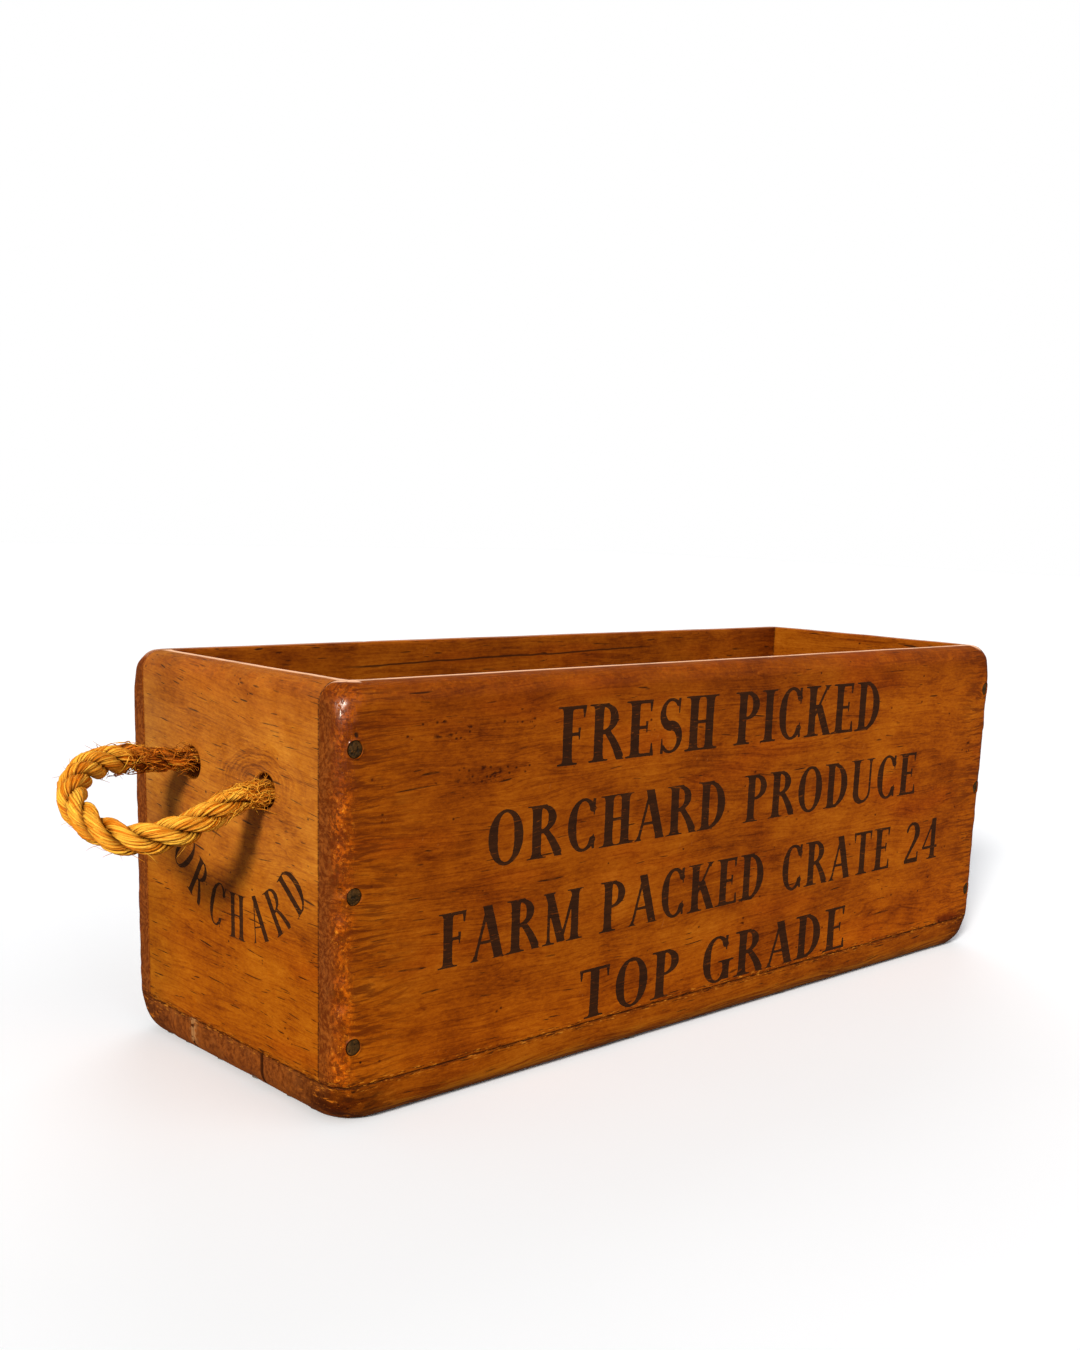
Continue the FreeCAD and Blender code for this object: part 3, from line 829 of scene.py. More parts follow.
def front_print():
    """Four rows of words on the front, over x and z."""
    xs = np.arange(-215.0, 222.0, 0.46)
    zs = np.arange(14.0, 186.0, 0.46)
    field = np.full((len(zs), len(xs)), OUTSIDE)
    grid_x, grid_z = np.meshgrid(xs, zs)
    for text, left, right, base, cap in FRONT_ROWS:
        gaps = len(text) - 1
        natural = sum(GLYPHS[c][0] * cap for c in text)
        stretch = min((right - left - MIN_TRACK * gaps) / natural, MAX_STRETCH)
        track = (right - left - natural * stretch) / gaps
        x = left
        for c in text:
            width = GLYPHS[c][0] * cap * stretch
            i0, i1 = np.searchsorted(xs, [x - 4, x + width + 4])
            j0, j1 = np.searchsorted(zs, [base - 3, base + cap + 3])
            u = (grid_x[j0:j1, i0:i1] - x) / (cap * stretch)
            v = (grid_z[j0:j1, i0:i1] - base) / cap
            field[j0:j1, i0:i1] = np.minimum(field[j0:j1, i0:i1], draw(c, u, v) * cap - 0.16)
            x += width + track
    return field, xs, zs


def end_print(text="ORCHARD", centre=(-9.0, 138.0), radius=70.0, cap=21.5,
              spread=math.radians(119)):
    """A word on an arc under the left handle, over the panel's y and z."""
    ys = np.arange(-73.0, 70.0, 0.40)
    zs = np.arange(50.0, 130.0, 0.40)
    field = np.full((len(zs), len(ys)), OUTSIDE)
    grid_y, grid_z = np.meshgrid(ys, zs)
    for i, c in enumerate(text):
        angle = -spread / 2 + spread * (i + 0.5) / len(text)      # negative is towards +Y
        sin, cos = math.sin(angle), math.cos(angle)
        dy = grid_y - (centre[0] - radius * sin)
        dz = grid_z - (centre[1] - radius * cos)
        # u runs along the reading direction (towards -Y), v towards the arc's centre
        du, dv = dy * -cos + dz * sin, dy * sin + dz * cos
        near = (np.abs(du) < cap) & (np.abs(dv) < 1.4 * cap)
        shape = draw(c, du / (cap * 0.92) + GLYPHS[c][0] / 2, dv / cap) * cap + 0.13
        field = np.minimum(field, np.where(near, shape, OUTSIDE))
    return field, ys, zs


def worn_print(field, xs, ys, seed):
    """Roughens the letters' outlines: field, its two axes, outline points and edges."""
    grid_x, grid_y = np.meshgrid(xs, ys)
    p = np.stack([grid_x.ravel(), grid_y.ravel(), np.zeros(grid_x.size)], 1)
    wear = 0.07 * vnoise(p, 1.1, seed) + 0.07 * vnoise(p, (7.0, 0.9, 1), seed + 1)
    field = field + wear.reshape(field.shape)
    return (field, xs, ys) + marching(field, xs, ys)


# ------------------------------------------------------------ boards of the crate
def rim_ease(axis, inner):
    """Radius of an inner rim along an axis, fading to a plain seam where boards meet."""
    return lambda p: 0.35 + 1.35 * smooth((inner - 1.0 - np.abs(p[:, axis])) / 5.0)


def long_board(name, sign):
    """Front (sign -1) or back (sign 1) board."""
    front = sign < 0
    lo = np.array([-HX, -HY if front else Y_IN, SLAT])
    hi = np.array([HX, -Y_IN if front else HY, H])
    outer, inner = (0, 1) if front else (1, 0)
    eases = [(1, inner, 2, 1, rim_ease(0, X_IN)), (1, inner, 0, 0, 0.35), (1, inner, 0, 1, 0.35),
             (2, 0, 1, outer, 0.5), (2, 0, 0, 0, 0.5), (2, 0, 0, 1, 0.5), (2, 0, 1, inner, 0.2)]

    def hidden(p, axis, side):
        if axis == 2 and side == 0:
            return np.ones(len(p), bool)
        if axis == 1 and side == inner:
            return np.abs(p[:, 0]) > X_IN + 0.01
        return np.zeros(len(p), bool)

    bores = [Bore(1, outer, a=z, b=sx * PLUG_X, radius=PLUG_R + 0.25, count=30, depth=4.4,
                  rim=0.22) for sx in (-1, 1) for z in PLUG_Z]
    ink = None
    if front:
        field, xs, zs, outline, edges = worn_print(*front_print(), seed=21)
        # the face's plane runs z, x
        ink = (1, 0, (field.T, zs, xs, outline[:, ::-1], [(b, a) for a, b in edges]))
    step = (1.75, 2.2, 1.75) if front else (2.3, 2.6, 2.3)
    ends = (("outer", "outer"), ("outer", "rim") if front else ("rim", "outer"),
            ("seam", "outer"))
    return board(name, lo, hi, ends, step, 0, eases, hidden, bores, ink)


def end_panel(name, sign):
    """Left (sign -1) or right (sign 1) end, between the long boards."""
    left = sign < 0
    lo = np.array([-HX if left else X_IN, -Y_IN, SLAT])
    hi = np.array([-X_IN if left else HX, Y_IN, H])
    outer, inner = (0, 1) if left else (1, 0)
    eases = [(0, inner, 2, 1, rim_ease(1, Y_IN)), (0, outer, 1, 0, 0.35), (0, outer, 1, 1, 0.35),
             (2, 1, 1, 0, 0.35), (2, 1, 1, 1, 0.35), (0, outer, 2, 0, 0.5)]

    def hidden(p, axis, side):
        return np.full(len(p), axis == 1 or (axis == 2 and side == 0))

    bores = []
    for side in (0, 1):
        rim = 0.9 if side == outer else 0.7
        bores += [Bore(0, side, a=y, b=z, radius=HOLE_R + rim, count=44, depth=None, rim=rim)
                  for y, z in HOLES]
    ink = (0, 0, worn_print(*end_print(), seed=31)) if left else None
    step = (2.0, 1.6, 1.6) if left else (2.2, 2.0, 2.0)
    ends = (("outer", "rim") if left else ("rim", "outer"), ("seam", "seam"), ("seam", "outer"))
    return board(name, lo, hi, ends, step, 1, eases, hidden, bores, ink)


def slat(name, which):
    """Front, middle or rear slat of the bottom."""
    slat_lo, slat_hi = BOX["bottom_slat_" + which]
    lo = np.array([-HX, slat_lo[1], 0.0])
    hi = np.array([HX, slat_hi[1], SLAT])
    outer = {"front": 0, "rear": 1}.get(which)        # side that lies on the crate's outside
    eases = []
    for side in (0, 1):
        if side != outer:
            eases += [(1, side, 2, 0, 0.7), (1, side, 0, 0, 0.5), (1, side, 0, 1, 0.5),
                      (1, side, 2, 1, 0.4)]
    eases += [(2, 1, 0, 0, 0.5), (2, 1, 0, 1, 0.5)]
    if outer is not None:
        eases.append((2, 1, 1, outer, 0.5))

    def hidden(p, axis, side):
        if axis == 2 and side == 1:
            return (np.abs(p[:, 0]) > X_IN + 0.01) | (np.abs(p[:, 1]) > Y_IN + 0.01)
        return np.full(len(p), axis == 1 and side != outer)

    def pale(p):
        """Light filler pressed into the rear joint at the left end."""
        return (smooth((-HX + 6.0 - p[:, 0]) / 3.0)
                * smooth((3.2 - np.abs(p[:, 1] - 31.6)) / 1.5) * smooth((p[:, 2] - 3.0) / 4.0))

    # small blind bores underneath, under the ends and the long boards
    centres = [(sx * PLUG_X, y) for sx in (-1, 1) for y in (-62, -43, -14, 17, 47, 65)
               if lo[1] < y < hi[1]]
    if outer is not None:
        edge_y = (HY - BOARD / 2) * (1 if outer else -1)
        centres += [(x, edge_y) for x in (-180, -62, 62, 180)]
    bores = [Bore(2, 0, a=x, b=y, radius=3.2, count=20, depth=2.55, rim=0.15)
             for x, y in centres]
    ends = (("outer", "outer"), tuple("outer" if side == outer else "seam" for side in (0, 1)),
            ("outer", "seam"))
    return board(name, lo, hi, ends, (2.4, 2.2, 2.4), 0, eases, hidden, bores, pale=pale)


# ------------------------------------------------------------------ filler plugs
PLUG_RINGS, PLUG_SIDES = 15, 48


def plug(cx, z, sign_y, rng):
    """One pressed-in filler disc: vertices and their crack values."""
    tilt = rng.uniform(-0.03, 0.03, 2)
    turn = rng.uniform(0, 100, 3)
    radii = (PLUG_R + 0.12) * (np.arange(1, PLUG_RINGS + 1) / PLUG_RINGS) ** 0.9
    a = 2 * math.pi * np.arange(PLUG_SIDES) / PLUG_SIDES
    disc = np.stack([np.outer(radii, np.cos(a)).ravel(), np.outer(radii, np.sin(a)).ravel()], 1)
    disc = np.vstack([[[0.0, 0.0]], disc])
    radial = np.hypot(disc[:, 0], disc[:, 1]) / PLUG_R
    q = np.stack([disc[:, 0] + turn[0], disc[:, 1] + turn[1], np.full(len(disc), turn[2])], 1)
    # domed, uneven and cracked
    depth = (0.42 - 0.22 * (1 - radial ** 2) + 0.16 * vnoise(q, 1.9, 41)
             + 0.07 * vnoise(q, 0.8, 42) + disc @ tilt)
    split = smooth((vnoise(q, 1.4, 43) - 0.45) / 0.3) * smooth((0.95 - radial) / 0.3)
    depth = depth + 0.28 * split + 0.5 * smooth((radial - 0.88) / 0.14)
    flat = np.stack([cx + disc[:, 0], np.full(len(disc), sign_y * HY - sign_y * 0.001),
                     z + disc[:, 1]], 1)
    top = envelope(flat)
    # inward direction: mostly along y, tipping where the vertical edge is rounded
    bend = HX - 9.0
    inward = np.stack([-(top[:, 0] - np.sign(cx) * bend) * (np.abs(top[:, 0]) > bend),
                       np.full(len(top), -sign_y * 8.0), np.zeros(len(top))], 1)
    inward /= np.linalg.norm(inward, axis=1)[:, None]
    top = top + inward * (depth + relief(top)[0] * 0.9)[:, None]
    rim, rim_inward = top[-PLUG_SIDES:], inward[-PLUG_SIDES:]
    bottom = rim + rim_inward * 3.2
    verts = np.vstack([top, rim + rim_inward * 2.4, bottom, bottom.mean(0)[None]])
    crack = np.clip(split + 0.7 * smooth((radial - 0.9) / 0.1), 0, 1)
    return verts, np.concatenate([crack, np.ones(2 * PLUG_SIDES + 1)])


def plugs(name, sign_y, sign_x):
    """The three plugs beside one upright edge of the crate."""
    rng = np.random.default_rng(sum((i + 1) * ord(c) for i, c in enumerate(name)))
    parts = [plug(sign_x * PLUG_X, z, sign_y, rng) for z in PLUG_Z]
    k = np.arange(PLUG_SIDES)
    k1 = np.roll(k, -1)
    rings = 1 + np.arange(PLUG_RINGS + 2) * PLUG_SIDES
    last = rings[-1]
    centre = np.full(PLUG_SIDES, last + PLUG_SIDES)
    tris = np.vstack([np.stack([0 * k, 1 + k, 1 + k1], 1),
                      np.stack([centre, last + k1, last + k], 1)])
    quads = np.vstack([np.stack([r0 + k, r1 + k, r1 + k1, r0 + k1], 1)
                       for r0, r1 in zip(rings, rings[1:])])
    if sign_y > 0:
        tris, quads = tris[:, ::-1], quads[:, ::-1]
    bases = [i * len(parts[0][0]) for i in range(len(parts))]
    return new_mesh(name, np.vstack([verts for verts, _ in parts]),
                    np.vstack([tris + base for base in bases]),
                    np.vstack([quads + base for base in bases]),
                    {"crack": np.concatenate([crack for _, crack in parts])})


# -------------------------------------------------------------- material builder
class Wire:
    """A node's output. + - * on it add math nodes, or vector math nodes for vectors."""

    def __init__(self, shader, socket):
        self.shader, self.socket = shader, socket

    def __add__(self, other):
        return self.shader.arithmetic("ADD", self, other)

    def __sub__(self, other):
        return self.shader.arithmetic("SUBTRACT", self, other)

    def __rsub__(self, other):
        return self.shader.arithmetic("SUBTRACT", other, self)

    def __mul__(self, other):
        return self.shader.arithmetic("MULTIPLY", self, other)


def is_vector(value):
    return isinstance(value, tuple) or (isinstance(value, Wire) and value.socket.type != "VALUE")


HALF = (0.5, 0.5, 0.5)


class Shader:
    """A principled material whose node tree is written as expressions."""

    def __init__(self, name):
        self.material = bpy.data.materials.new(name)
        self.material.use_nodes = True
        self.tree = self.material.node_tree
        self.tree.nodes.clear()
        out = self.tree.nodes.new("ShaderNodeOutputMaterial")
        self.bsdf = self.tree.nodes.new("ShaderNodeBsdfPrincipled")
        self.tree.links.new(self.bsdf.outputs[0], out.inputs[0])

    def put(self, socket, value):
        if isinstance(value, Wire):
            self.tree.links.new(value.socket, socket)
        elif socket.type == "RGBA" and len(value) == 3:
            socket.default_value = (*value, 1.0)
        else:
            socket.default_value = value

    def node(self, kind, inputs=(), output=0, **settings):
        """New node: its inputs by name or number, and its settings. Returns one output."""
        node = self.tree.nodes.new("ShaderNode" + kind)
        for key, value in settings.items():
            setattr(node, key, value)
        for key, value in dict(inputs).items():
            self.put(node.inputs[key], value)
        return Wire(self, node.outputs[output])

    def surface(self, inputs):
        for key, value in inputs.items():
            self.put(self.bsdf.inputs[key], value)
        return self.material

    def arithmetic(self, operation, a, b):
        kind = "VectorMath" if is_vector(a) or is_vector(b) else "Math"
        return self.node(kind, {0: a, 1: b}, operation=operation)

    def maths(self, operation, *values, clamp=False):
        return self.node("Math", enumerate(values), operation=operation, use_clamp=clamp)

    def absolute(self, value):
        return self.maths("ABSOLUTE", value)

    def maximum(self, a, b):
        return self.maths("MAXIMUM", a, b)

    def mul_add(self, value, factor, addend):
        return self.maths("MULTIPLY_ADD", value, factor, addend)

    def length(self, vector):
        return self.node("VectorMath", {0: vector}, output="Value", operation="LENGTH")

    def attribute(self, name, vector=False):
        return self.node("Attribute", output="Vector" if vector else "Fac", attribute_name=name)

    def coords(self):
        return self.node("TexCoord", output="Object")

    def millimetres(self):
        return self.node("VectorMath", {0: self.coords(), "Scale": 1000.0}, operation="SCALE")

    def split(self, vector):
        parts = self.node("SeparateXYZ", {0: vector}).socket.node.outputs
        return [Wire(self, part) for part in parts]

    def join(self, x, y, z):
        return self.node("CombineXYZ", {0: x, 1: y, 2: z})

    def scaled(self, vector, size, offset=(0, 0, 0)):
        """size: features in mm, as one number, (along, across) or one per axis."""
        if not isinstance(size, tuple):
            size = (size,) * 3
        if len(size) == 2:
            size = (size[0], size[1], size[1])
        return self.node("Mapping", {"Vector": vector, "Scale": tuple(1 / s for s in size),
                                     "Location": offset})

    def noise(self, vector, size=None, offset=(0, 0, 0), detail=2.0, rough=0.5, scale=1.0,
              colour=False):
        if size is not None:
            vector = self.scaled(vector, size, offset)
        return self.node("TexNoise", {"Vector": vector, "Scale": scale, "Detail": detail,
                                      "Roughness": rough}, output="Color" if colour else "Fac")

    def voronoi(self, vector, size, offset=(0, 0, 0)):
        """Distance to the nearest cell point, and three random numbers of its cell."""
        distance = self.node("TexVoronoi", {"Vector": self.scaled(vector, size, offset),
                                            "Scale": 1.0}, output="Distance")
        return [distance] + self.split(Wire(self, distance.socket.node.outputs["Color"]))

    def step(self, value, start, end, low=0.0, high=1.0):
        """Smooth step: low at start, high at end."""
        return self.node("MapRange", enumerate((value, start, end, low, high)),
                         interpolation_type="SMOOTHSTEP")

    def mix(self, amount, a, b, blend="MIX"):
        return self.node("Mix", {0: amount, 6: a, 7: b}, output=2, data_type="RGBA",
                         blend_type=blend)

    def tinted(self, colour, factor):
        return self.mix(1.0, colour, factor, "MULTIPLY")

    def toned(self, amount, colour, factor):
        """colour, multiplied by factor as far as amount."""
        return self.mix(amount, colour, self.tinted(colour, factor))

    def colour_ramp(self, value, stops):
        """stops: (position, colour)."""
        wire = self.node("ValToRGB", {0: value})
        elements = wire.socket.node.color_ramp.elements
        for element, (position, colour) in zip(elements, (stops[0], stops[-1])):
            element.position, element.color = position, colour + (1,)
        for position, colour in stops[1:-1]:
            elements.new(position).color = colour + (1,)
        return wire

    def bump(self, height, strength, distance):
        return self.node("Bump", {"Strength": strength, "Distance": distance, "Height": height})


# -------------------------------------------------------------------------- wood
HOLE_MARKS = [      # x, y, z, radius of dark pinholes
    (-241.5, -HY + 0.4, 172.0, 1.5),
    (-238.6, -HY + 0.3, 29.5, 0.8),
]
STAIN = [           # tone of the stain, dark to light
    (0.0, (0.105, 0.0175, 0.0003)), (0.30, (0.210, 0.0430, 0.0006)),
    (0.52, (0.290, 0.0680, 0.0010)), (0.74, (0.355, 0.0950, 0.0026)),
    (1.0, (0.425, 0.1300, 0.0070)),
]


class Wood(Shader):
    """Old waxed, stained softwood. Each layer takes the colour so far and returns the next."""

    def __init__(self, name, grain, seed, slope=0.0):
        super().__init__(name)
        offset = tuple(float(v) for v in np.random.default_rng(seed).uniform(-900, 900, 3))
        self.point = self.millimetres()
        self.x, self.y, self.z = self.split(self.point)
        rise = self.z
        if slope:                # the figure runs at a slight angle near the top of the board
            rise = self.z - self.y * slope * self.step(self.z, 70.0, 150.0)
        order = (self.x, self.y, self.z) if grain == 0 else (self.y, rise, self.x)
        self.along = order[0]
        # grain coordinates: plain, bent, and finely waved. Their x runs along the grain.
        self.grain = self.join(*order) + offset
        warp = self.noise(self.grain, (130, 34), colour=True) - HALF
        self.bent = self.grain + warp * (0.0, 22.0, 22.0)
        self.fine_warp = self.noise(self.grain, (30, 9), detail=1.0, colour=True) - HALF
        self.waved = self.bent + self.fine_warp * (0.0, 2.4, 2.4)

        self.edge = self.attribute("edge_wear")
        self.end = self.attribute("end_grain")
        self.inside = self.attribute("inside")
        self.far_x, self.far_y = self.absolute(self.x), self.absolute(self.y)
        # noises that several layers share
        self.streak = self.noise(self.waved, (85, 1.7), detail=4.0, rough=0.66)
        self.hair = self.noise(self.waved, (28, 0.55), rough=0.6)
        self.cloud = self.noise(self.grain, (62, 40), detail=3.0, rough=0.55)
        self.blotch = self.noise(self.grain, (17, 11), detail=3.0, rough=0.6)
        self.mottle = self.noise(self.point, (1.7, 1.7, 2.3), (9, 4, 1), detail=3.0, rough=0.62)
        self.flecks = self.noise(self.point, (0.9, 0.9, 3.4), (1, 7, 3), detail=3.0, rough=0.6)
        self.chips = self.noise(self.point, (5.0, 5.0, 0.8), (9, 2, 6), detail=4.0, rough=0.66)

    def stain(self, tone, streaks, knots, tint, red):
        rings = self.noise(self.bent, (260, 9), detail=3.0, rough=0.62)
        grit = self.noise(self.grain, (2.6, 1.1), (4, 4, 4), detail=3.0, rough=0.7)
        t = (rings - 0.5) * 0.40
        for layer, amount in ((self.streak, 0.62 * streaks), (self.hair, 0.50 * streaks),
                              (self.cloud, 1.05), (self.blotch, 0.72), (grit, 0.72)):
            t = t + (layer - 0.5) * amount
        lines = self.noise(self.bent, (420, 4.2), (6, 2, 5))
        lines = self.step(self.absolute(lines - 0.5), 0.0, 0.035)
        t = t + (lines - 1.0) * 0.16
        t = t + (0.5 + 0.42 * (tone - 1.0))
        for knot in knots:
            t = self.knot(t, *knot)
        col = self.tinted(self.colour_ramp(t, STAIN), tint)
        # the stain is redder in places
        reds = self.noise(self.grain, (90, 26), (13, 5, 9))
        return self.toned(self.step(reds, 0.52, 0.78) * (0.34 + red), col, (1.02, 0.66, 0.55))

    def knot(self, t, along, z, radius, squash):
        """Growth rings curving round a knot."""
        u = (self.along - along) * squash
        w = self.z - z
        r = self.maths("SQRT", u * u + w * w) + (self.blotch - 0.5) * 5.0
        angle = self.maths("ARCTAN2", w, u)
        arcs = self.noise(self.join(r * (1 / 1.5), angle * 0.45, float(along)),
                          detail=3.0, rough=0.6)
        near = (self.step(r, radius, radius * 0.35)
                * self.step(self.mul_add(w, -1.0, 0.0), 7.0, -3.0, low=0.25))
        return t + near * (arcs - 0.58) * 1.7

    def dashes(self, cell, chance, width, offset):
        """Random dashes along the grain, one at most in each cell (length, width)."""
        distance, keep, wide, _ = self.voronoi(self.waved, cell, offset)
        size = self.mul_add(wide, width, width * 0.35)
        return self.step(distance, size, size * 0.62) * self.maths("LESS_THAN", keep, chance)

    def pores(self, col, dashes):
        medium = self.dashes((44, 2.1), 0.52 * dashes, 0.18, (3, 1, 4))
        short = self.dashes((20, 1.7), 0.44 * dashes, 0.20, (17, 9, 2))
        long = self.dashes((80, 2.8), 0.22 * dashes, 0.15, (31, 6, 8))
        pore = self.maximum(self.maximum(medium, short * 0.75), long)
        pore = pore * self.step(self.noise(self.waved, (9, 2)), 0.30, 0.56, low=0.45)
        self.pore = pore * (1.0 - self.end * 0.9)
        return self.mix(self.pore * 0.92, col, (0.026, 0.0065, 0.0016))

    def specks(self, col, dirt, pits):
        """Specks of dirt in clusters. pits: (x, z, half length, half height) of pitted areas."""
        distance, keep, wide, _ = self.voronoi(self.grain, (2.6, 2.1))
        cluster = self.step(self.noise(self.grain, (42, 24), (5, 51, 7)), 0.60, 0.76,
                            low=0.02, high=0.5)
        for x, z, half_x, half_z in pits:
            away = (self.point - (x, -HY, z)) * (1 / half_x, 1 / 8.0, 1 / half_z)
            cluster = self.maximum(cluster, self.step(self.length(away), 1.0, 0.5))
        chance = cluster * ((0.40 if pits else 0.62) * dirt)
        speck = (self.step(distance, self.mul_add(wide, 0.36, 0.16), 0.08)
                 * self.maths("LESS_THAN", keep, chance))
        if pits:
            warp = self.noise(self.grain, (2.2, 1.6), colour=True) - HALF
            distance, keep, wide, _ = self.voronoi(self.waved + warp * (3.4, 2.6, 2.6),
                                                   (6.4, 3.3), (2, 8, 3))
            pit = (self.step(distance, self.mul_add(wide, 0.40, 0.18), 0.12)
                   * self.maths("LESS_THAN", keep, self.mul_add(cluster, 0.85, -0.25)))
            speck = self.maximum(speck, pit)
        self.speck = speck
        return self.mix(speck * 0.92, col, (0.034, 0.0050, 0.0008))

    def grime(self, col, dirt):
        """Darker rubbed-in smudges."""
        grime = self.noise(self.grain, (30, 15), (71, 3, 12), detail=5.0, rough=0.68)
        return self.toned(self.step(grime, 0.56, 0.80) * (0.32 * dirt), col, (0.50, 0.42, 0.45))

    def end_grain(self, col):
        """Dark, close figure with paler patches."""
        close = self.noise(self.bent, (20, 2.6), detail=5.0, rough=0.72)
        wide = self.noise(self.grain, (18, 11.0), (3, 3, 3), detail=3.0, rough=0.6)
        end = self.mix(self.step(close, 0.34, 0.66), (0.070, 0.0150, 0.0034),
                       (0.250, 0.072, 0.0120))
        end = self.mix(self.step(wide, 0.50, 0.72) * 0.35, end, (0.270, 0.095, 0.0220))
        return self.mix(self.end * 0.80, col, end)

    def worn_edges(self, col):
        """Warm orange-red with dark and bright patches."""
        base = self.noise(self.point, (5.5, 5.5, 8.5), (2, 4, 6), detail=4.0, rough=0.66)
        wear = self.edge * self.step(self.noise(self.point, 24), 0.34, 0.60, low=0.35)
        worn = self.mix(self.step(base, 0.40, 0.60), (0.072, 0.0105, 0.0003),
                        (0.370, 0.0780, 0.0010))
        for pattern, start, end, amount, colour in (
                (self.mottle, 0.59, 0.67, 0.85, (0.66, 0.235, 0.020)),
                (self.mottle, 0.47, 0.39, 0.90, (0.034, 0.0068, 0.0008)),
                (self.flecks, 0.60, 0.68, 0.75, (0.052, 0.0085, 0.0006)),
                (self.flecks, 0.36, 0.30, 0.75, (0.60, 0.180, 0.012))):
            worn = self.mix(self.step(pattern, start, end) * amount, worn, colour)
        broad = self.noise(self.point, (12.0, 12.0, 21.0), (6, 6, 2), detail=3.0, rough=0.6)
        worn = self.tinted(worn, self.mix(self.step(broad, 0.36, 0.64), (0.62, 0.50, 0.42),
                                          (1.32, 1.32, 0.9)))
        return self.mix(wear * 0.88, col, worn)

    def drawn_in_stain(self, col):
        """Stain drawn in at the board's ends, in streaks along the grain."""
        reach = self.step(self.absolute(self.x), HX - 52.0, HX - 9.0)
        drawn = self.noise(self.waved, (24, 1.9), (7, 7, 7), detail=4.0, rough=0.68)
        return self.mix(self.step(drawn, 0.47, 0.60) * (reach * 0.80), col,
                        (0.098, 0.0165, 0.0010))

    def feet(self, col):
        """Dark, crushed bottom corners, and the lower rounded edge rubbed to a warm gold."""
        corner = (self.step(self.far_x, HX - 42.0, HX - 8.0)
                  * self.step(self.far_y, HY - 44.0, HY - 8.0))
        patchy = self.noise(self.point, (22, 22, 9), detail=4.0, rough=0.62)
        dark = self.step(self.z, 27.0, 7.0) * self.step(patchy, 0.36, 0.56, low=0.40)
        dark = self.maths("MULTIPLY", dark, self.mul_add(corner, 0.90, 0.08), clamp=True)
        col = self.toned(dark, col, (0.20, 0.12, 0.07))
        crush = self.noise(self.point, (7.0, 7.0, 1.7), (5, 5, 5), detail=5.0, rough=0.72)
        low = corner * self.step(self.z, 34.0, 12.0)
        col = self.mix(low * (self.step(crush, 0.57, 0.64) * 0.80), col, (0.50, 0.150, 0.010))
        col = self.mix(low * (self.step(crush, 0.48, 0.38) * 0.85), col, (0.040, 0.0075, 0.0008))
        gold = (self.step(self.z, 12.0, 4.0)
                * (self.step(self.far_y, HY - 8.0, HY - 2.0) * (1.0 - corner)))
        return self.mix(gold * self.step(self.streak, 0.42, 0.62, high=0.7), col,
                        (0.50, 0.180, 0.008))

    def seams(self, col, joints):
        """Chipped joint between side and slat. joints: y of joints between slats, at their ends."""
        dark_chips = self.noise(self.point, (8.0, 8.0, 0.9), (3, 1, 8), detail=4.0, rough=0.66)
        outer = self.maximum(self.step(self.far_x, HX - 3.0, HX - 1.0),
                             self.step(self.far_y, HY - 3.0, HY - 1.0))
        seam = self.step(self.absolute(self.z - SLAT), 3.4, 1.2) * outer
        col = self.mix(seam * (self.step(dark_chips, 0.53, 0.60) * 0.85), col,
                       (0.035, 0.0070, 0.0008))
        col = self.mix(seam * (self.step(self.chips, 0.57, 0.64) * 0.80), col,
                       (0.56, 0.215, 0.022))
        for y in joints:
            gap = (self.step(self.absolute(self.y - y), 1.25, 0.4)
                   * self.step(self.far_x, HX - 6.0, HX - 2.0))
            col = self.mix(gap * 0.85, col, (0.022, 0.0058, 0.0018))
        return col

    def patch(self, col, along, z, half_along, half_z, strength):
        """A stained patch."""
        away = self.join((self.along - along) * (1 / half_along), (self.z - z) * (1 / half_z), 0.0)
        reach = self.length(away) + (self.blotch - 0.5) * 1.3
        return self.toned(self.step(reach, 1.0, 0.45) * strength, col, (0.40, 0.22, 0.16))

    def crack(self, col, z, slope, x0, x1, half_width):
        """A drying crack along the grain on the inner face."""
        line = self.z - self.mul_add(self.x, slope, z)
        line = line + (self.cloud - 0.5) * 3.0
        line = line + (self.blotch - 0.5) * 1.2
        span = self.step(self.x, x0, x0 + 25.0) * self.step(self.x, x1, x1 - 60.0)
        hit = (self.step(self.absolute(line), half_width, half_width * 0.3)
               * (span * self.inside))
        return self.mix(hit * 0.85, col, (0.030, 0.0075, 0.0020))

    def haze(self, col, amount):
        """Painted sheen: a pale haze over the upper part, standing in for a specular haze."""
        sheen = self.step(self.z, 66.0, 132.0) * self.step(self.blotch, 0.30, 0.62, low=0.6)
        return self.mix(sheen * amount, col, (0.48, 0.31, 0.145))

    def shade(self, col, axis, start, end, first, last):
        """Slow change of colour across the board."""
        return self.tinted(col, self.mix(self.step(getattr(self, axis), start, end), first, last))

    def dark_marks(self, col):
        """Dark creases at the seams, and pinholes."""
        crease = self.attribute("crease") * self.step(self.chips, 0.60, 0.46, low=0.25)
        col = self.mix(crease * 0.85, col, (0.040, 0.0095, 0.0024))
        for x, y, z, radius in HOLE_MARKS:
            away = self.length(self.point - (x, y, z))
            col = self.mix(self.step(away, radius, radius * 0.55) * 0.92, col,
                           (0.012, 0.004, 0.002))
        return col

    def hairlines(self, turn, cell, chance, width, offset):
        moved = self.point + self.fine_warp * (2.0, 2.0, 2.0)
        turned_point = self.node("Mapping", {"Rotation": turn, "Vector": moved})
        distance, keep, wide, _ = self.voronoi(turned_point, cell, offset)
        hit = self.step(distance, self.mul_add(wide, width, width * 0.4), 0.02)
        return hit * self.maths("LESS_THAN", keep, chance)

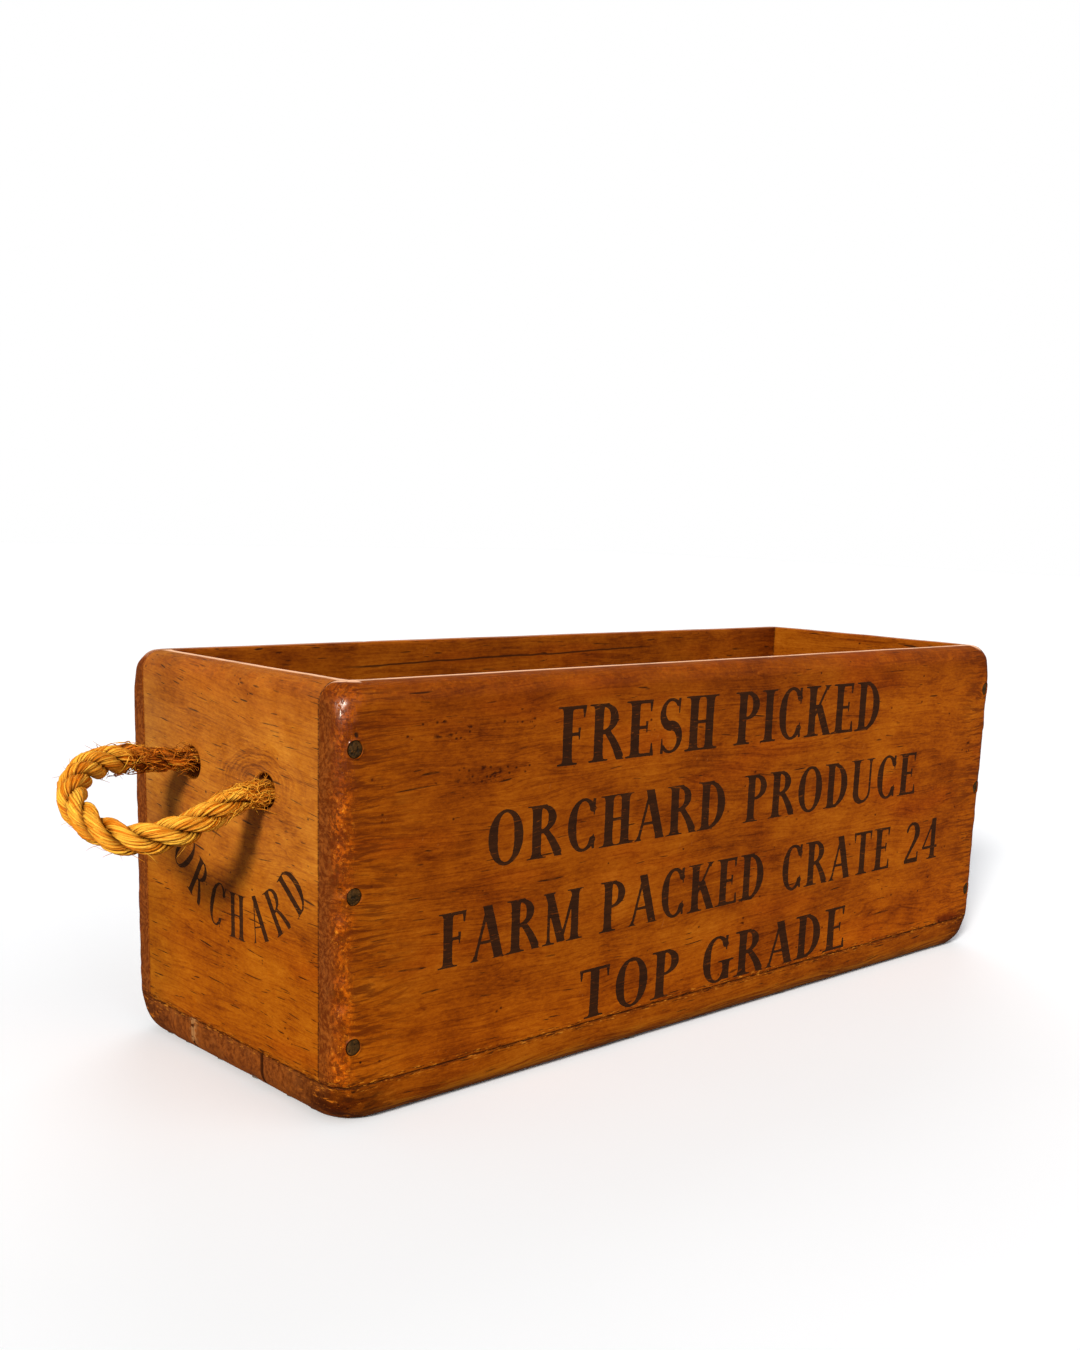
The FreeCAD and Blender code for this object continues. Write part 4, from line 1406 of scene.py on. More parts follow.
    def scratches(self, col):
        """Short straight scratches, paler."""
        self.scratch = self.maximum(
            self.hairlines((0.3, 1.15, 0.4), (44, 1.5), 0.16, 0.10, (1, 2, 3)),
            self.maximum(self.hairlines((1.1, 0.5, 2.0), (60, 1.6), 0.10, 0.09, (5, 2, 9)),
                         self.hairlines((0.2, 2.1, 0.9), (24, 1.1), 0.10, 0.11, (8, 7, 3))))
        return self.mix(self.scratch * 0.45, col, (0.50, 0.20, 0.052))

    def rim_shine(self, col, amount):
        """Painted highlight: the rim's inner edge is painted pale where it turns away from the view, standing in for a
        grazing reflection.
        """
        on_y, on_x = (self.step(far, inner + 6.4, inner + 3.8)
                      * self.maths("GREATER_THAN", far, inner - 0.5)
                      for far, inner in ((self.far_y, Y_IN), (self.far_x, X_IN)))
        painted_highlight = self.maximum(on_y, on_x) * self.step(self.z, H - 4.0, H - 2.2)
        # the pale colour shows only at grazing view angles: a painted highlight
        facing = self.node("LayerWeight", {"Blend": 0.5}, output="Facing")
        painted_highlight = painted_highlight * self.step(facing, 0.62, 0.84)
        painted_highlight = painted_highlight * self.step(self.blotch, 0.26, 0.50, low=0.65)
        return self.mix(painted_highlight * amount, col, (1.0, 0.62, 0.42))

    def inside_and_filler(self, col):
        """The inside faces are painted darker and greyer: painted shade, with dust. The light filler patch is pale."""
        col = self.toned(self.inside * 0.55, col, (0.62, 0.60, 0.72))
        patchy = self.step(self.noise(self.point, 2, detail=3.0), 0.38, 0.55)
        return self.mix(self.attribute("pale") * patchy * 0.8, col, (0.40, 0.195, 0.075))

    def ink(self, col):
        """Dark print, soaked in and chipped along the grain."""
        chip = self.noise(self.waved, (9, 0.9), detail=3.0, rough=0.7)
        chip = self.step(chip, 0.70, 0.60, low=0.55)
        self.printed = self.attribute("ink") * (chip * (1.0 - self.scratch * 0.6))
        ink = self.mix(self.step(self.streak, 0.35, 0.7), (0.019, 0.0078, 0.0042),
                       (0.036, 0.0130, 0.0052))
        return self.mix(self.printed * 0.97, col, ink)

    def roughness(self):
        rough = self.mul_add(self.blotch - 0.5, 0.22, 0.50)
        rough = self.mul_add(self.streak - 0.5, 0.20, rough)
        rough = rough - self.edge * 0.10
        rough = rough + self.printed * 0.10
        return self.maths("ADD", rough, self.inside * 0.12, clamp=True)

    def wax(self):
        """Wax on the worn edges, strongest at the top of the front left corner."""
        corner = self.step(self.z, 135.0, 178.0) * (self.step(self.x, 20.0 - HX, 5.0 - HX)
                                                    * self.step(self.y, 20.0 - HY, 5.0 - HY))
        amount = self.step(self.flecks, 0.44, 0.58) * self.mul_add(corner, 1.1, 0.08)
        return self.maths("MULTIPLY", self.edge, amount, clamp=True)

    def height(self):
        h = (self.streak - 0.5) * 0.30
        h = h + (self.hair - 0.5) * 0.22
        h = h - self.pore * 0.45
        h = h - self.speck * 0.20
        h = h - self.scratch * 0.25
        h = h + self.edge * (self.mul_add(self.flecks, 0.6, self.mottle * 0.7) - 0.65) * 1.5
        return h + (self.noise(self.point, scale=1.4) - 0.5) * 0.05


def wood(name, grain, seed, tone=1.0, dashes=1.0, streaks=1.0, dirt=1.0, red=0.0,
         end_streaks=False, pits=(), tint=(1.0, 1.0, 1.0), shades=(), knots=(), patches=(),
         cracks=(), rim=0.0, haze=0.0, joints=(), slope=0.0):
    """Stained wood. grain: axis of the grain. The rest are amounts and places of Wood's layers."""
    w = Wood(name, grain, seed, slope)
    col = w.stain(tone, streaks, knots, tint, red)
    col = w.pores(col, dashes)
    col = w.specks(col, dirt, pits)
    col = w.grime(col, dirt)
    col = w.end_grain(col)
    col = w.worn_edges(col)
    if end_streaks:
        col = w.drawn_in_stain(col)
    col = w.feet(col)
    col = w.seams(col, joints)
    for patch in patches:
        col = w.patch(col, *patch)
    for crack in cracks:
        col = w.crack(col, *crack)
    # painted sheen over the upper part of the board
    if haze:
        col = w.haze(col, haze)
    for shade in shades:
        col = w.shade(col, *shade)
    col = w.dark_marks(col)
    col = w.scratches(col)
    # the rim amount paints a pale highlight along the rim's inner edge
    if rim:
        col = w.rim_shine(col, rim)
    # the inside is painted darker as shade, and greyer as with dust
    col = w.inside_and_filler(col)
    col = w.ink(col)
    return w.surface({
        "Base Color": col,
        "Roughness": w.roughness(),
        "Specular IOR Level": w.mul_add(w.edge, 0.03, 0.065),
        "Coat Weight": w.wax(),
        "Coat Tint": (1.0, 0.86, 0.62),
        "Coat Roughness": 0.20,
        "Normal": w.bump(w.height(), strength=0.55, distance=0.00045),
    })


PLAIN = (1.0, 1.0, 1.0)
SLAT_LOOK = dict(grain=0, dashes=0.8, dirt=1.4)
MIDDLE_SLAT_LO, MIDDLE_SLAT_HI = BOX["bottom_slat_middle"]

# Look of each board. knots: (along, z, radius, squash along). patches: (along, z, half sizes,
# strength). cracks: (z at x = 0, slope, x from, x to, half width).
# shades: (axis, start, end, colour factor at start, at end).
# The rim amount paints a highlight along the rim's inner edge, and the haze amount paints a pale sheen over the upper
# part.
LOOKS = {
    "front_board": dict(
        grain=0, seed=11, tone=0.90, dashes=0.50, streaks=0.9, red=0.08, end_streaks=True,
        pits=[(-196, 170.5, 26, 8), (-172, 150, 34, 6), (-150, 172, 14, 6)], rim=0.9,
        patches=[(226, 16, 26, 11, 0.85), (-262, 60, 10, 70, 0.35)],
        shades=[("z", H - 30.0, H - 8.0, PLAIN, (0.84, 0.80, 0.70)),
                ("x", 40.0, 190.0, PLAIN, (1.13, 1.12, 0.9)),
                ("z", 70.0, 20.0, PLAIN, (1.12, 1.08, 0.8))]),
    "back_board": dict(
        grain=0, seed=12, tone=0.92, dashes=0.6, end_streaks=True, rim=0.3,
        knots=[(128.0, 92.0, 24.0, 0.45)], cracks=[(181.8, 0.0136, -140.0, 130.0, 0.75)],
        # This shade darkens the board towards its right end: painted shade for the inner corner there.
        shades=[("x", 170.0, 245.0, PLAIN, (0.80, 0.72, 0.66))]),
    "left_end_panel": dict(
        grain=1, seed=13, slope=0.12, tone=1.12, dashes=1.9, streaks=0.8, dirt=0.9,
        tint=(1.16, 1.30, 1.3), rim=0.9, knots=[(-28.0, 143.0, 27.0, 0.50)], haze=0.06,
        shades=[("z", 62.0, 112.0, (0.88, 0.82, 0.60), (1.12, 1.25, 1.5)),
                ("z", 166.0, 186.0, PLAIN, (0.90, 0.80, 0.70)),
                ("y", 30.0, 74.0, PLAIN, (0.88, 0.98, 1.35))]),
    "right_end_panel": dict(
        grain=1, seed=14, tone=1.08, dashes=1.1, tint=(1.08, 1.15, 1.2), rim=0.3,
        knots=[(34.0, 66.0, 20.0, 0.5)]),
    "bottom_slat_front": dict(
        SLAT_LOOK, seed=15, tone=0.86, joints=[float(BOX["bottom_slat_front"][1][1])]),
    "bottom_slat_middle": dict(
        SLAT_LOOK, seed=16, tone=0.9, joints=[float(MIDDLE_SLAT_LO[1]), float(MIDDLE_SLAT_HI[1])]),
    "bottom_slat_rear": dict(
        SLAT_LOOK, seed=17, tone=0.85, joints=[float(BOX["bottom_slat_rear"][0][1])]),
}


# --------------------------------------------------------------- other materials
def steel(name, tint, rust):
    s = Shader(name)
    point = s.millimetres()
    patchy = s.noise(point, 1 / 0.7, detail=4.0, rough=0.65)
    brushed = s.noise(point, (1 / 0.12, 1 / 2.2))
    patch = s.step(patchy, 0.52, 0.68)
    rust_colour = s.mix(brushed, (0.10, 0.030, 0.010), (0.26, 0.090, 0.030))
    bare = s.mix(brushed, tuple(c * 0.7 for c in tint), tint)
    return s.surface({
        "Base Color": s.mix(patch * rust, bare, rust_colour),
        "Metallic": 0.95 - patch * rust,
        "Roughness": s.step(patchy, 0.3, 0.7, low=0.30, high=0.62),
        "Normal": s.bump(patchy, strength=0.4, distance=0.0001),
    })


def filler(name):
    s = Shader(name)
    point = s.millimetres()
    coarse = s.noise(point, 3.0, detail=4.0, rough=0.6)
    fine = s.noise(point, 0.9, detail=3.0, rough=0.6)
    col = s.mix(s.step(coarse, 0.34, 0.66), (0.017, 0.0098, 0.0022), (0.066, 0.0300, 0.0058))
    col = s.mix(s.step(fine, 0.58, 0.70) * 0.65, col, (0.200, 0.070, 0.008))
    col = s.mix(s.attribute("crack") * 0.85, col, (0.010, 0.005, 0.002))
    return s.surface({
        "Base Color": col,
        "Roughness": s.step(fine, 0.3, 0.7, low=0.50, high=0.78),
        "Specular IOR Level": 0.14,
        "Normal": s.bump(fine, strength=0.6, distance=0.0003),
    })


def rope_material(name):
    s = Shader(name)
    run, key, kind = s.split(s.attribute("yarn", vector=True))
    cos, sin, _ = s.split(s.attribute("around", vector=True))

    def round_yarn(length, turns, key_a, key_b, detail, rough):
        """Streaks of a length (mm) that run along the yarn's surface."""
        return s.noise(s.join(run * (1 / length), s.mul_add(cos, turns, key * key_a),
                              s.mul_add(sin, turns, key * key_b)), detail=detail, rough=rough)

    along = s.noise(s.join(run * (1 / 16.0), key * 37.0, key * 91.0), detail=3.0, rough=0.6)
    fine = round_yarn(7.0, 1.9, 77.0, 23.0, detail=4.0, rough=0.72)
    fibre = round_yarn(5.0, 4.5, 131.0, 59.0, detail=3.0, rough=0.7)
    grain = s.noise(s.millimetres(), 0.8, detail=3.0, rough=0.7)
    per_yarn = s.noise(s.join(key * 613.0, 0.5, 0.5), detail=0.0)
    per_kind = s.noise(s.join(run * (1 / 26.0), kind * 5.0, 0.7))
    t = s.mul_add(along - 0.5, 0.7, 0.5)
    for layer, amount in ((per_yarn, 1.5), (fine, 1.5), (per_kind, 0.5), (fibre, 1.4)):
        t = t + (layer - 0.5) * amount
    gold = s.mix(s.step(t, 0.16, 0.86), (0.62, 0.160, 0.0012), (1.0, 0.560, 0.060))
    brown = s.mix(s.step(t, 0.16, 0.86), (0.120, 0.0215, 0.0010), (0.82, 0.240, 0.0150))
    stain = s.attribute("stain") + (along - 0.5) * 0.8
    stain = stain + (fine - 0.5) * 0.3
    col = s.mix(s.step(stain, 0.28, 0.72), gold, brown)
    # painted shade in the crevices between strands and yarns
    col = s.toned(s.attribute("deep") * 0.88, col, (0.20, 0.095, 0.045))
    col = s.mix(s.step(grain, 0.62, 0.74) * 0.30, col, (0.12, 0.034, 0.005))
    height = grain + s.mul_add(fine, 1.4, fibre * 1.6)
    return s.surface({
        "Base Color": col,
        "Roughness": s.step(fine, 0.3, 0.7, low=0.27, high=0.52),
        "Specular IOR Level": 0.52,
        "Specular Tint": (1.0, 0.68, 0.24),
        "Normal": s.bump(height, strength=0.75, distance=0.00026),
    })


# ------------------------------------------------------------------ rope geometry
def unit(v):
    v = np.asarray(v, float)
    return v / np.linalg.norm(v, axis=-1, keepdims=True)


def spline(points, step):
    """Centripetal Catmull-Rom through points, resampled evenly. Returns path and distances."""
    P = np.array(points, float)
    P = np.vstack([2 * P[0] - P[1], P, 2 * P[-1] - P[-2]])
    out = []
    for p0, p1, p2, p3 in zip(P, P[1:], P[2:], P[3:]):
        t0 = 0.0
        t1 = t0 + max(np.linalg.norm(p1 - p0), 1e-6) ** 0.5
        t2 = t1 + max(np.linalg.norm(p2 - p1), 1e-6) ** 0.5
        t3 = t2 + max(np.linalg.norm(p3 - p2), 1e-6) ** 0.5
        t = np.linspace(t1, t2, 25)[:-1][:, None]
        a1 = (t1 - t) / (t1 - t0) * p0 + (t - t0) / (t1 - t0) * p1
        a2 = (t2 - t) / (t2 - t1) * p1 + (t - t1) / (t2 - t1) * p2
        a3 = (t3 - t) / (t3 - t2) * p2 + (t - t2) / (t3 - t2) * p3
        b1 = (t2 - t) / (t2 - t0) * a1 + (t - t0) / (t2 - t0) * a2
        b2 = (t3 - t) / (t3 - t1) * a2 + (t - t1) / (t3 - t1) * a3
        out.append((t2 - t) / (t2 - t1) * b1 + (t - t1) / (t2 - t1) * b2)
    out = np.vstack(out + [P[-2][None]])
    for _ in range(3):
        out[1:-1] = 0.25 * out[:-2] + 0.5 * out[1:-1] + 0.25 * out[2:]
    run = np.concatenate([[0], np.cumsum(np.linalg.norm(np.diff(out, axis=0), axis=1))])
    want = np.linspace(0, run[-1], int(round(run[-1] / step)) + 1)
    return np.stack([np.interp(want, run, out[:, k]) for k in range(3)], 1), want


def frames(path):
    """Tangent, normal and binormal along a path, turned as little as possible."""
    T = unit(np.gradient(path, axis=0))
    N = np.zeros_like(T)
    ref = np.array([0.0, 0.0, 1.0]) if abs(T[0][2]) < 0.9 else np.array([0.0, 1.0, 0.0])
    N[0] = unit(ref - T[0] * (ref @ T[0]))
    for i in range(1, len(T)):
        v = N[i - 1] - T[i] * (N[i - 1] @ T[i])
        N[i] = v / np.linalg.norm(v)
    return T, N, np.cross(T, N)


def orbit(centre, radius, angle, normal, binormal):
    """Path that circles round a centre line."""
    return (centre + (radius * np.cos(angle))[:, None] * normal
            + (radius * np.sin(angle))[:, None] * binormal)


def run_noise(run, size, seed, a=0, b=0):
    """Noise along a rope. a, b choose separate rows of it."""
    return vnoise(np.stack([run, 0 * run + a, 0 * run + b], 1), (size, 1, 1), seed)


YARN, FIBRE, CORE, FRIZZ = 0, 1, 2, 3      # kinds of tube


class Tubes:
    """Collects closed tubes and their streak coordinates."""

    def __init__(self):
        self.verts, self.quads, self.tris, self.info, self.round = [], [], [], [], []
        self.count = 0

    def add(self, path, radius, sides, key, kind, run):
        """radius: per point. key: random number of the yarn. run: distance along the rope."""
        n = len(path)
        T, N, B = frames(path)
        j = np.arange(sides)
        a = j * 2 * math.pi / sides
        ring = (path[:, None, :] + radius[:, None, None]
                * (np.cos(a)[None, :, None] * N[:, None, :]
                   + np.sin(a)[None, :, None] * B[:, None, :]))
        tips = np.stack([path[0] - T[0] * radius[0] * 0.6, path[-1] + T[-1] * radius[-1] * 0.6])
        j1 = (j + 1) % sides
        row = np.arange(n - 1)[:, None] * sides
        p00, p01 = (row + j).ravel(), (row + j1).ravel()
        start_tip, end_tip, last = n * sides, n * sides + 1, (n - 1) * sides
        tri = np.vstack([np.stack([np.full(sides, start_tip), j1, j], 1),
                         np.stack([np.full(sides, end_tip), last + j, last + j1], 1)])
        runs = np.concatenate([np.repeat(run, sides), [run[0], run[-1]]])
        circle = np.stack([np.cos(a), np.sin(a), 0 * a], 1)
        self.info.append(np.stack([runs, np.full(len(runs), key),
                                   np.full(len(runs), float(kind))], 1))
        self.round.append(np.vstack([np.tile(circle, (n, 1)), np.zeros((2, 3))]))
        self.verts.append(np.vstack([ring.reshape(-1, 3), tips]))
        self.quads.append(np.stack([p00, p01, p01 + sides, p00 + sides], 1) + self.count)
        self.tris.append(tri + self.count)
        self.count += n * sides + 2

    def mesh(self, name, marks):
        """marks: function of vertices and their info, giving more attributes."""
        verts, info = np.vstack(self.verts), np.vstack(self.info)
        return new_mesh(name, verts, np.vstack(self.tris), np.vstack(self.quads),
                        {"yarn": info, "around": np.vstack(self.round), **marks(verts, info)})


# ------------------------------------------------------------ path of a handle
LOOP = [            # distance out from the end's outer face, y, z
    (41.7, 25.2, 150.2), (62.1, 14.6, 147.3), (73.9, -1.6, 139.5), (73.4, -18.8, 131.1),
    (63.2, -31.6, 126.4), (44.6, -37.6, 128.8), (29.0, -36.4, 133.9),
]
RIGHT_DROOP = 14.0  # degrees the right loop hangs lower
KNOT_REACH = 16.0 - 5.3      # the knot's centre line keeps within this radius, clear of the board


def turned(points, origin, axis, degrees):
    a = math.radians(degrees)
    k = unit(axis)
    q = np.array(points, float) - origin
    return (q * math.cos(a) + np.cross(k, q) * math.sin(a)
            + (q @ k)[:, None] * k * (1 - math.cos(a))) + origin


def knot_path(flip):
    """A tight overhand knot about the origin. x points outwards, y sideways, z up."""
    points = []
    for t in np.linspace(math.pi + 0.30, 3 * math.pi - 0.34, 40):
        u = math.sin(t) + 2 * math.sin(2 * t)
        v = -(math.cos(t) - 2 * math.cos(2 * t))
        w = -math.sin(3 * t)
        points.append((-u * 3.35, flip * w * 4.6, v * 3.35 - 1.5))
    points = np.array(points)
    return points * min(1.0, KNOT_REACH / np.linalg.norm(points, axis=1).max())


def knot_and_tail(hole, flip, tilt):
    """Knot inside the panel at a hole, then its tail hanging down, leaning by tilt degrees."""
    knot = knot_path(flip)
    lean = math.tan(math.radians(tilt))
    tail = knot[-1] + np.array([
        (-3.0, -2.6 * flip, -1.0), (-5.5, -2.0 * flip, -7.0), (-6.4, -1.0 * flip, -16.0),
        (-8.0, -1.0 * flip + 14 * lean, -28.0), (-10.5, 26 * lean, -39.0)])
    return np.vstack([knot, tail]) + (X_IN - 16.3, *hole)


def handle_path(side):
    """Rear tail and knot, rear hole, loop, front hole, front knot and tail."""
    rear_y, rear_z = REAR_HOLE
    front_y, front_z = FRONT_HOLE
    loop = [(HX + out, y, z) for out, y, z in LOOP]
    if side == "right":
        rear, front = np.array([HX + 18.0, rear_y, 146.0]), np.array([HX + 18.0, front_y, 139.6])
        loop = turned(loop, front, rear - front, RIGHT_DROOP)
    path = np.vstack([
        knot_and_tail(REAR_HOLE, flip=1, tilt=-11.0)[::-1],
        [(X_IN - 4.0, rear_y - 0.2, rear_z + 1.0), (X_IN + 6.0, rear_y, rear_z + 2.0),
         (HX + 2.0, rear_y, 146.9), (HX + 10.0, rear_y, 147.0)],
        loop,
        [(HX + 10.0, front_y, 139.8), (HX + 2.0, front_y, 139.4),
         (X_IN + 6.0, front_y, front_z - 1.7), (X_IN - 4.0, front_y + 0.2, front_z - 1.0)],
        knot_and_tail(FRONT_HOLE, flip=-1, tilt=8.0)])
    path[:, 0] *= SIDES[side]
    return path


TUCK_R, TUCK_REACH = 6.9, 11.5      # fibres this near a hole's axis are drawn into its bore
TUCK_X = HX + 9.2                   # how far out the rope can slide into the hole


def tucked(points):
    """Keeps fibres within the bore over the stretch of rope that can slide into the hole."""
    P = np.array(points, float)
    out = np.abs(P[:, 0])
    zone = (out > X_IN) & (out < TUCK_X)
    away = np.stack([np.hypot(P[:, 1] - y, P[:, 2] - z) for y, z in HOLES])
    nearest = away.argmin(0)
    for k, (y, z) in enumerate(HOLES):
        here = zone & (nearest == k)
        m = here & (away[k] > TUCK_R) & (away[k] < TUCK_REACH)
        f = TUCK_R / np.maximum(away[k], 1e-6)
        P[m, 1] = y + (P[m, 1] - y) * f[m]
        P[m, 2] = z + (P[m, 2] - z) * f[m]
        far = here & (away[k] >= TUCK_REACH)
        P[far, 0] = np.sign(P[far, 0]) * TUCK_X
    return P


# ----------------------------------------------------------------- rope handles
class Rope:
    """A three-strand rope handle. The parts share one random stream, so their order matters."""
    PITCH, YARN_PITCH, YARNS = 39.0, 27.0, 18
    FIBRES, WISPS, FRIZZES = 400, 170, 104

    def __init__(self, side):
        self.sign = SIDES[side]
        self.rng = np.random.default_rng(101 if side == "left" else 202)
        self.centre, self.run = spline(handle_path(side), step=1.65)
        self.T, self.N, self.B = frames(self.centre)
        self.out = np.abs(self.centre[:, 0])
        total = self.run[-1]
        self.half = self.run / total           # below 0.5 is the rear leg
        out, run = self.out, self.run
        in_knot = smooth((X_IN - 1.0 - out) / 6.0)
        # a little tighter towards the holes, tighter still in the knots
        slim = np.where(self.half < 0.5, 0.20, 0.13) * smooth((HX + 40.0 - out) / 34.0)
        self.radius = (ROPE_R * (1 - slim) * (1 - 0.10 * in_knot)
                       * (1 + 0.12 * smooth((out - HX - 9.0) / 24.0)))
        self.radius *= 1 + 0.035 * run_noise(run, 14, 61)
        self.tail_end = smooth((16.0 - np.minimum(run, total - run)) / 16.0)

    def leg(self, rear):
        return self.half < 0.5 if rear else self.half > 0.5

    def strands(self, tubes):
        run = self.run
        phase = 2 * math.pi * run / self.PITCH + 0.35 * run_noise(run, 45, 62)
        self.strand_lines = []
        for strand in range(3):
            angle = (phase + strand * 2 * math.pi / 3
                     + 0.16 * run_noise(run, 20, 63, a=strand * 9))
            spread = 1 + 0.55 * self.tail_end * (0.6 + 0.4 * strand / 2)
            line = orbit(self.centre, self.radius * 0.536 * spread, angle, self.N, self.B)
            radius = self.radius * 0.464
            _, normal, binormal = frames(line)
            tubes.add(line, radius * 0.84, 8, 0.03 + 0.3 * strand, CORE, run)
            for k in range(self.YARNS):
                self.yarn(tubes, strand, k, line, radius, normal, binormal)
            self.strand_lines.append((line, normal, binormal, radius))

    def yarn(self, tubes, strand, k, line, radius, normal, binormal):
        rng, run = self.rng, self.run
        row = dict(a=31 * k, b=57 * strand)
        key = rng.uniform(0, 1)
        angle = (-2 * math.pi * run / self.YARN_PITCH
                 + 2 * math.pi * (k + rng.uniform(-0.22, 0.22)) / self.YARNS
                 + 0.30 * run_noise(run, 16, 64, **row))
        lift = 0.84 + 0.10 * run_noise(run, 11, 65, **row) + 0.05 * run_noise(run, 4, 66, **row)
        thick = (0.52 + 0.13 * run_noise(run, 9, 67, **row)) * (radius / 2.83)
        # yarns spread at the very ends of the rope
        fray = 1 + 1.1 * self.tail_end * rng.uniform(0.2, 1.0)
        path = orbit(line, radius * lift * fray, angle, normal, binormal)
        i0 = int(rng.uniform(0, 5))
        i1 = len(run) - int(rng.uniform(0, 5))
        tubes.add(path[i0:i1], thick[i0:i1], 4, key, YARN, run[i0:i1])

    def fibre_place(self, n):
        """Half of the fibres start near the holes, most of those on the rear leg."""
        rng, out = self.rng, self.out
        choice = rng.uniform()
        if choice < 0.50:
            rear = rng.choice([0, 0, 0, 1]) == 0
            target = HX + abs(rng.normal(0, 1)) * 16.0
            places = np.nonzero((out > HX - 1) & (np.abs(out - target) < 3.0) & self.leg(rear))[0]
            if not len(places):
                return None
        else:
            places = np.nonzero(out > HX + 2)[0] if choice < 0.9 else np.arange(8, n - 8)
        return int(rng.choice(places))

    def fibres(self, tubes):
        """Thin loose fibres that stand off the strands."""
        rng, sign = self.rng, self.sign
        for _ in range(self.FIBRES):
            line, normal, binormal, radius = self.strand_lines[rng.integers(0, 3)]
            i = self.fibre_place(len(self.run))
            if i is None:
                continue
            direction = 1 if rng.uniform() < 0.5 else -1
            length = rng.uniform(3.0, 9) if rng.uniform() < 0.96 else rng.uniform(9, 16)
            a = rng.uniform(0, 2 * math.pi)
            start = line[i] + (radius[i] * 0.82) * (math.cos(a) * normal[i]
                                                    + math.sin(a) * binormal[i])
            outward = unit(start - self.centre[i])
            heading = unit(self.T[i] * direction * rng.uniform(0.8, 1.3)
                           + outward * rng.uniform(0.05, 0.50) + rng.normal(0, 0.22, 3))
            bend = rng.normal(0, 1.0, 3)
            bend[2] -= 0.35
            steps = max(5, int(length / 1.8))
            path = [start]
            for _ in range(steps):
                heading = unit(heading + bend * 0.075 + rng.normal(0, 0.05, 3))
                path.append(path[-1] + heading * (length / steps))
            path = np.array(path)
            # no fibre goes into the board
            if self.out[i] > HX:
                path[:, 0] = np.maximum(path[:, 0] * sign, HX + 0.4) * sign
            elif self.out[i] < X_IN:
                path[:, 0] = np.minimum(path[:, 0] * sign, X_IN - 0.6) * sign
            else:
                continue
            path = tucked(path)
            thick = np.linspace(1, 0.40, len(path)) * rng.uniform(0.10, 0.17)
            tubes.add(path, thick, 4, rng.uniform(0, 1), FIBRE,
                      self.run[i] + np.linspace(0, length, len(path)))

    def wisps(self, tubes):
        """Coarse curled fibres lying on the legs near the holes."""
        rng, sign, out = self.rng, self.sign, self.out
        for wisp in range(self.WISPS):
            rear = rng.uniform() < 0.66
            target = HX + (rng.uniform(1.0, 46.0) if rear else 1.0 + abs(rng.normal(0, 1)) * 8.0)
            places = np.nonzero((out > HX - 1) & (np.abs(out - target) < 2.0) & self.leg(rear))[0]
            if not len(places):
                continue
            i = int(rng.choice(places))
            span = int(rng.uniform(5, 11))
            m = np.arange(max(i - span // 2, 3), min(i + span // 2, len(out) - 3))
            run = self.run[m]
            angle = (rng.uniform(0, 2 * math.pi) + rng.uniform(-0.12, 0.12) * (m - i)
                     + 0.9 * run_noise(run, 6.0, 71, a=wisp * 7.0))
            reach = (self.radius[m] * (0.97 + 0.10 * rng.uniform())
                     + 0.75 * np.abs(run_noise(run, 5.0, 72, a=wisp * 7.0)))
            path = orbit(self.centre[m], reach, angle, self.N[m], self.B[m])
            path[:, 0] = np.maximum(path[:, 0] * sign, HX + 0.5) * sign
            tubes.add(tucked(path), np.linspace(0.23, 0.11, len(m)) * rng.uniform(0.8, 1.25), 5,
                      rng.uniform(0, 1), FIBRE, run)

    def frizz(self, tubes):
        """Frizz splayed over the mouths of the holes."""
        rng, sign = self.rng, self.sign
        for hair in range(self.FRIZZES):
            front = hair % 4 != 3
            i = int(np.argmin(np.abs(self.out - (HX + rng.uniform(2.0, 7.5)))
                              + np.where((self.half > 0.5) == front, 0, 1e6)))
            a = rng.uniform(0, 2 * math.pi)
            radial = math.cos(a) * self.N[i] + math.sin(a) * self.B[i]
            p0 = self.centre[i] + self.radius[i] * 0.88 * radial
            lift = rng.uniform(0.8, 3.4) * (1.25 if radial[2] > 0.2 else 0.75)
            sideways = np.cross(self.T[i], radial) * rng.normal(0, 2.4)
            p1 = (p0 + radial * lift * 0.6 + sideways * 0.4
                  + np.array([sign * rng.uniform(-0.5, 2.2), 0, 0]))
            p2 = (p0 + radial * lift + sideways
                  + np.array([-sign * rng.uniform(0.0, 3.0), 0, rng.uniform(-0.5, 1.0)]))
            p3 = (p0 + radial * lift * rng.uniform(0.4, 1.2) + sideways * 1.8
                  + np.array([-sign * rng.uniform(1.0, 7.0), 0, rng.uniform(-1.2, 0.8)]))
            root = p0 - self.T[i] * 1.5 * rng.choice([-1, 1])
            path, run = spline([root, p0, p1, p2, p3], step=1.0)
            path[:, 0] = np.clip(path[:, 0] * sign, HX + 0.30, HX + 10.0) * sign
            tubes.add(path, np.linspace(0.19, 0.09, len(path)) * rng.uniform(0.8, 1.2), 5,
                      rng.uniform(0, 1), FRIZZ, self.run[i] + run)

    def marks(self, verts, info):
        """Brown stain near the holes, and painted shade in the crevices, stronger the nearer a vertex lies to the
        rope's middle.
        """
        run, key, kind = info.T
        centre = np.stack([np.interp(run, self.run, self.centre[:, k]) for k in range(3)], 1)
        out = np.abs(centre[:, 0])
        rear = run / self.run[-1] < 0.5
        stain = np.where(rear, 0.86 * smooth((HX + 50.0 - out) / 24.0),
                         0.34 * smooth((HX + 24.0 - out) / 20.0)) + 0.06
        stain = np.where(out < HX, np.where(rear, 0.9, 0.55), stain)
        stain = np.where(kind == FIBRE, stain * 0.75 + (key - 0.66) * 0.6, stain)
        stain = np.where(kind == FRIZZ, np.where(rear, 0.80, 0.46) + (key - 0.5) * 0.5, stain)
        reach = np.linalg.norm(verts - centre, axis=1) / np.interp(run, self.run, self.radius)
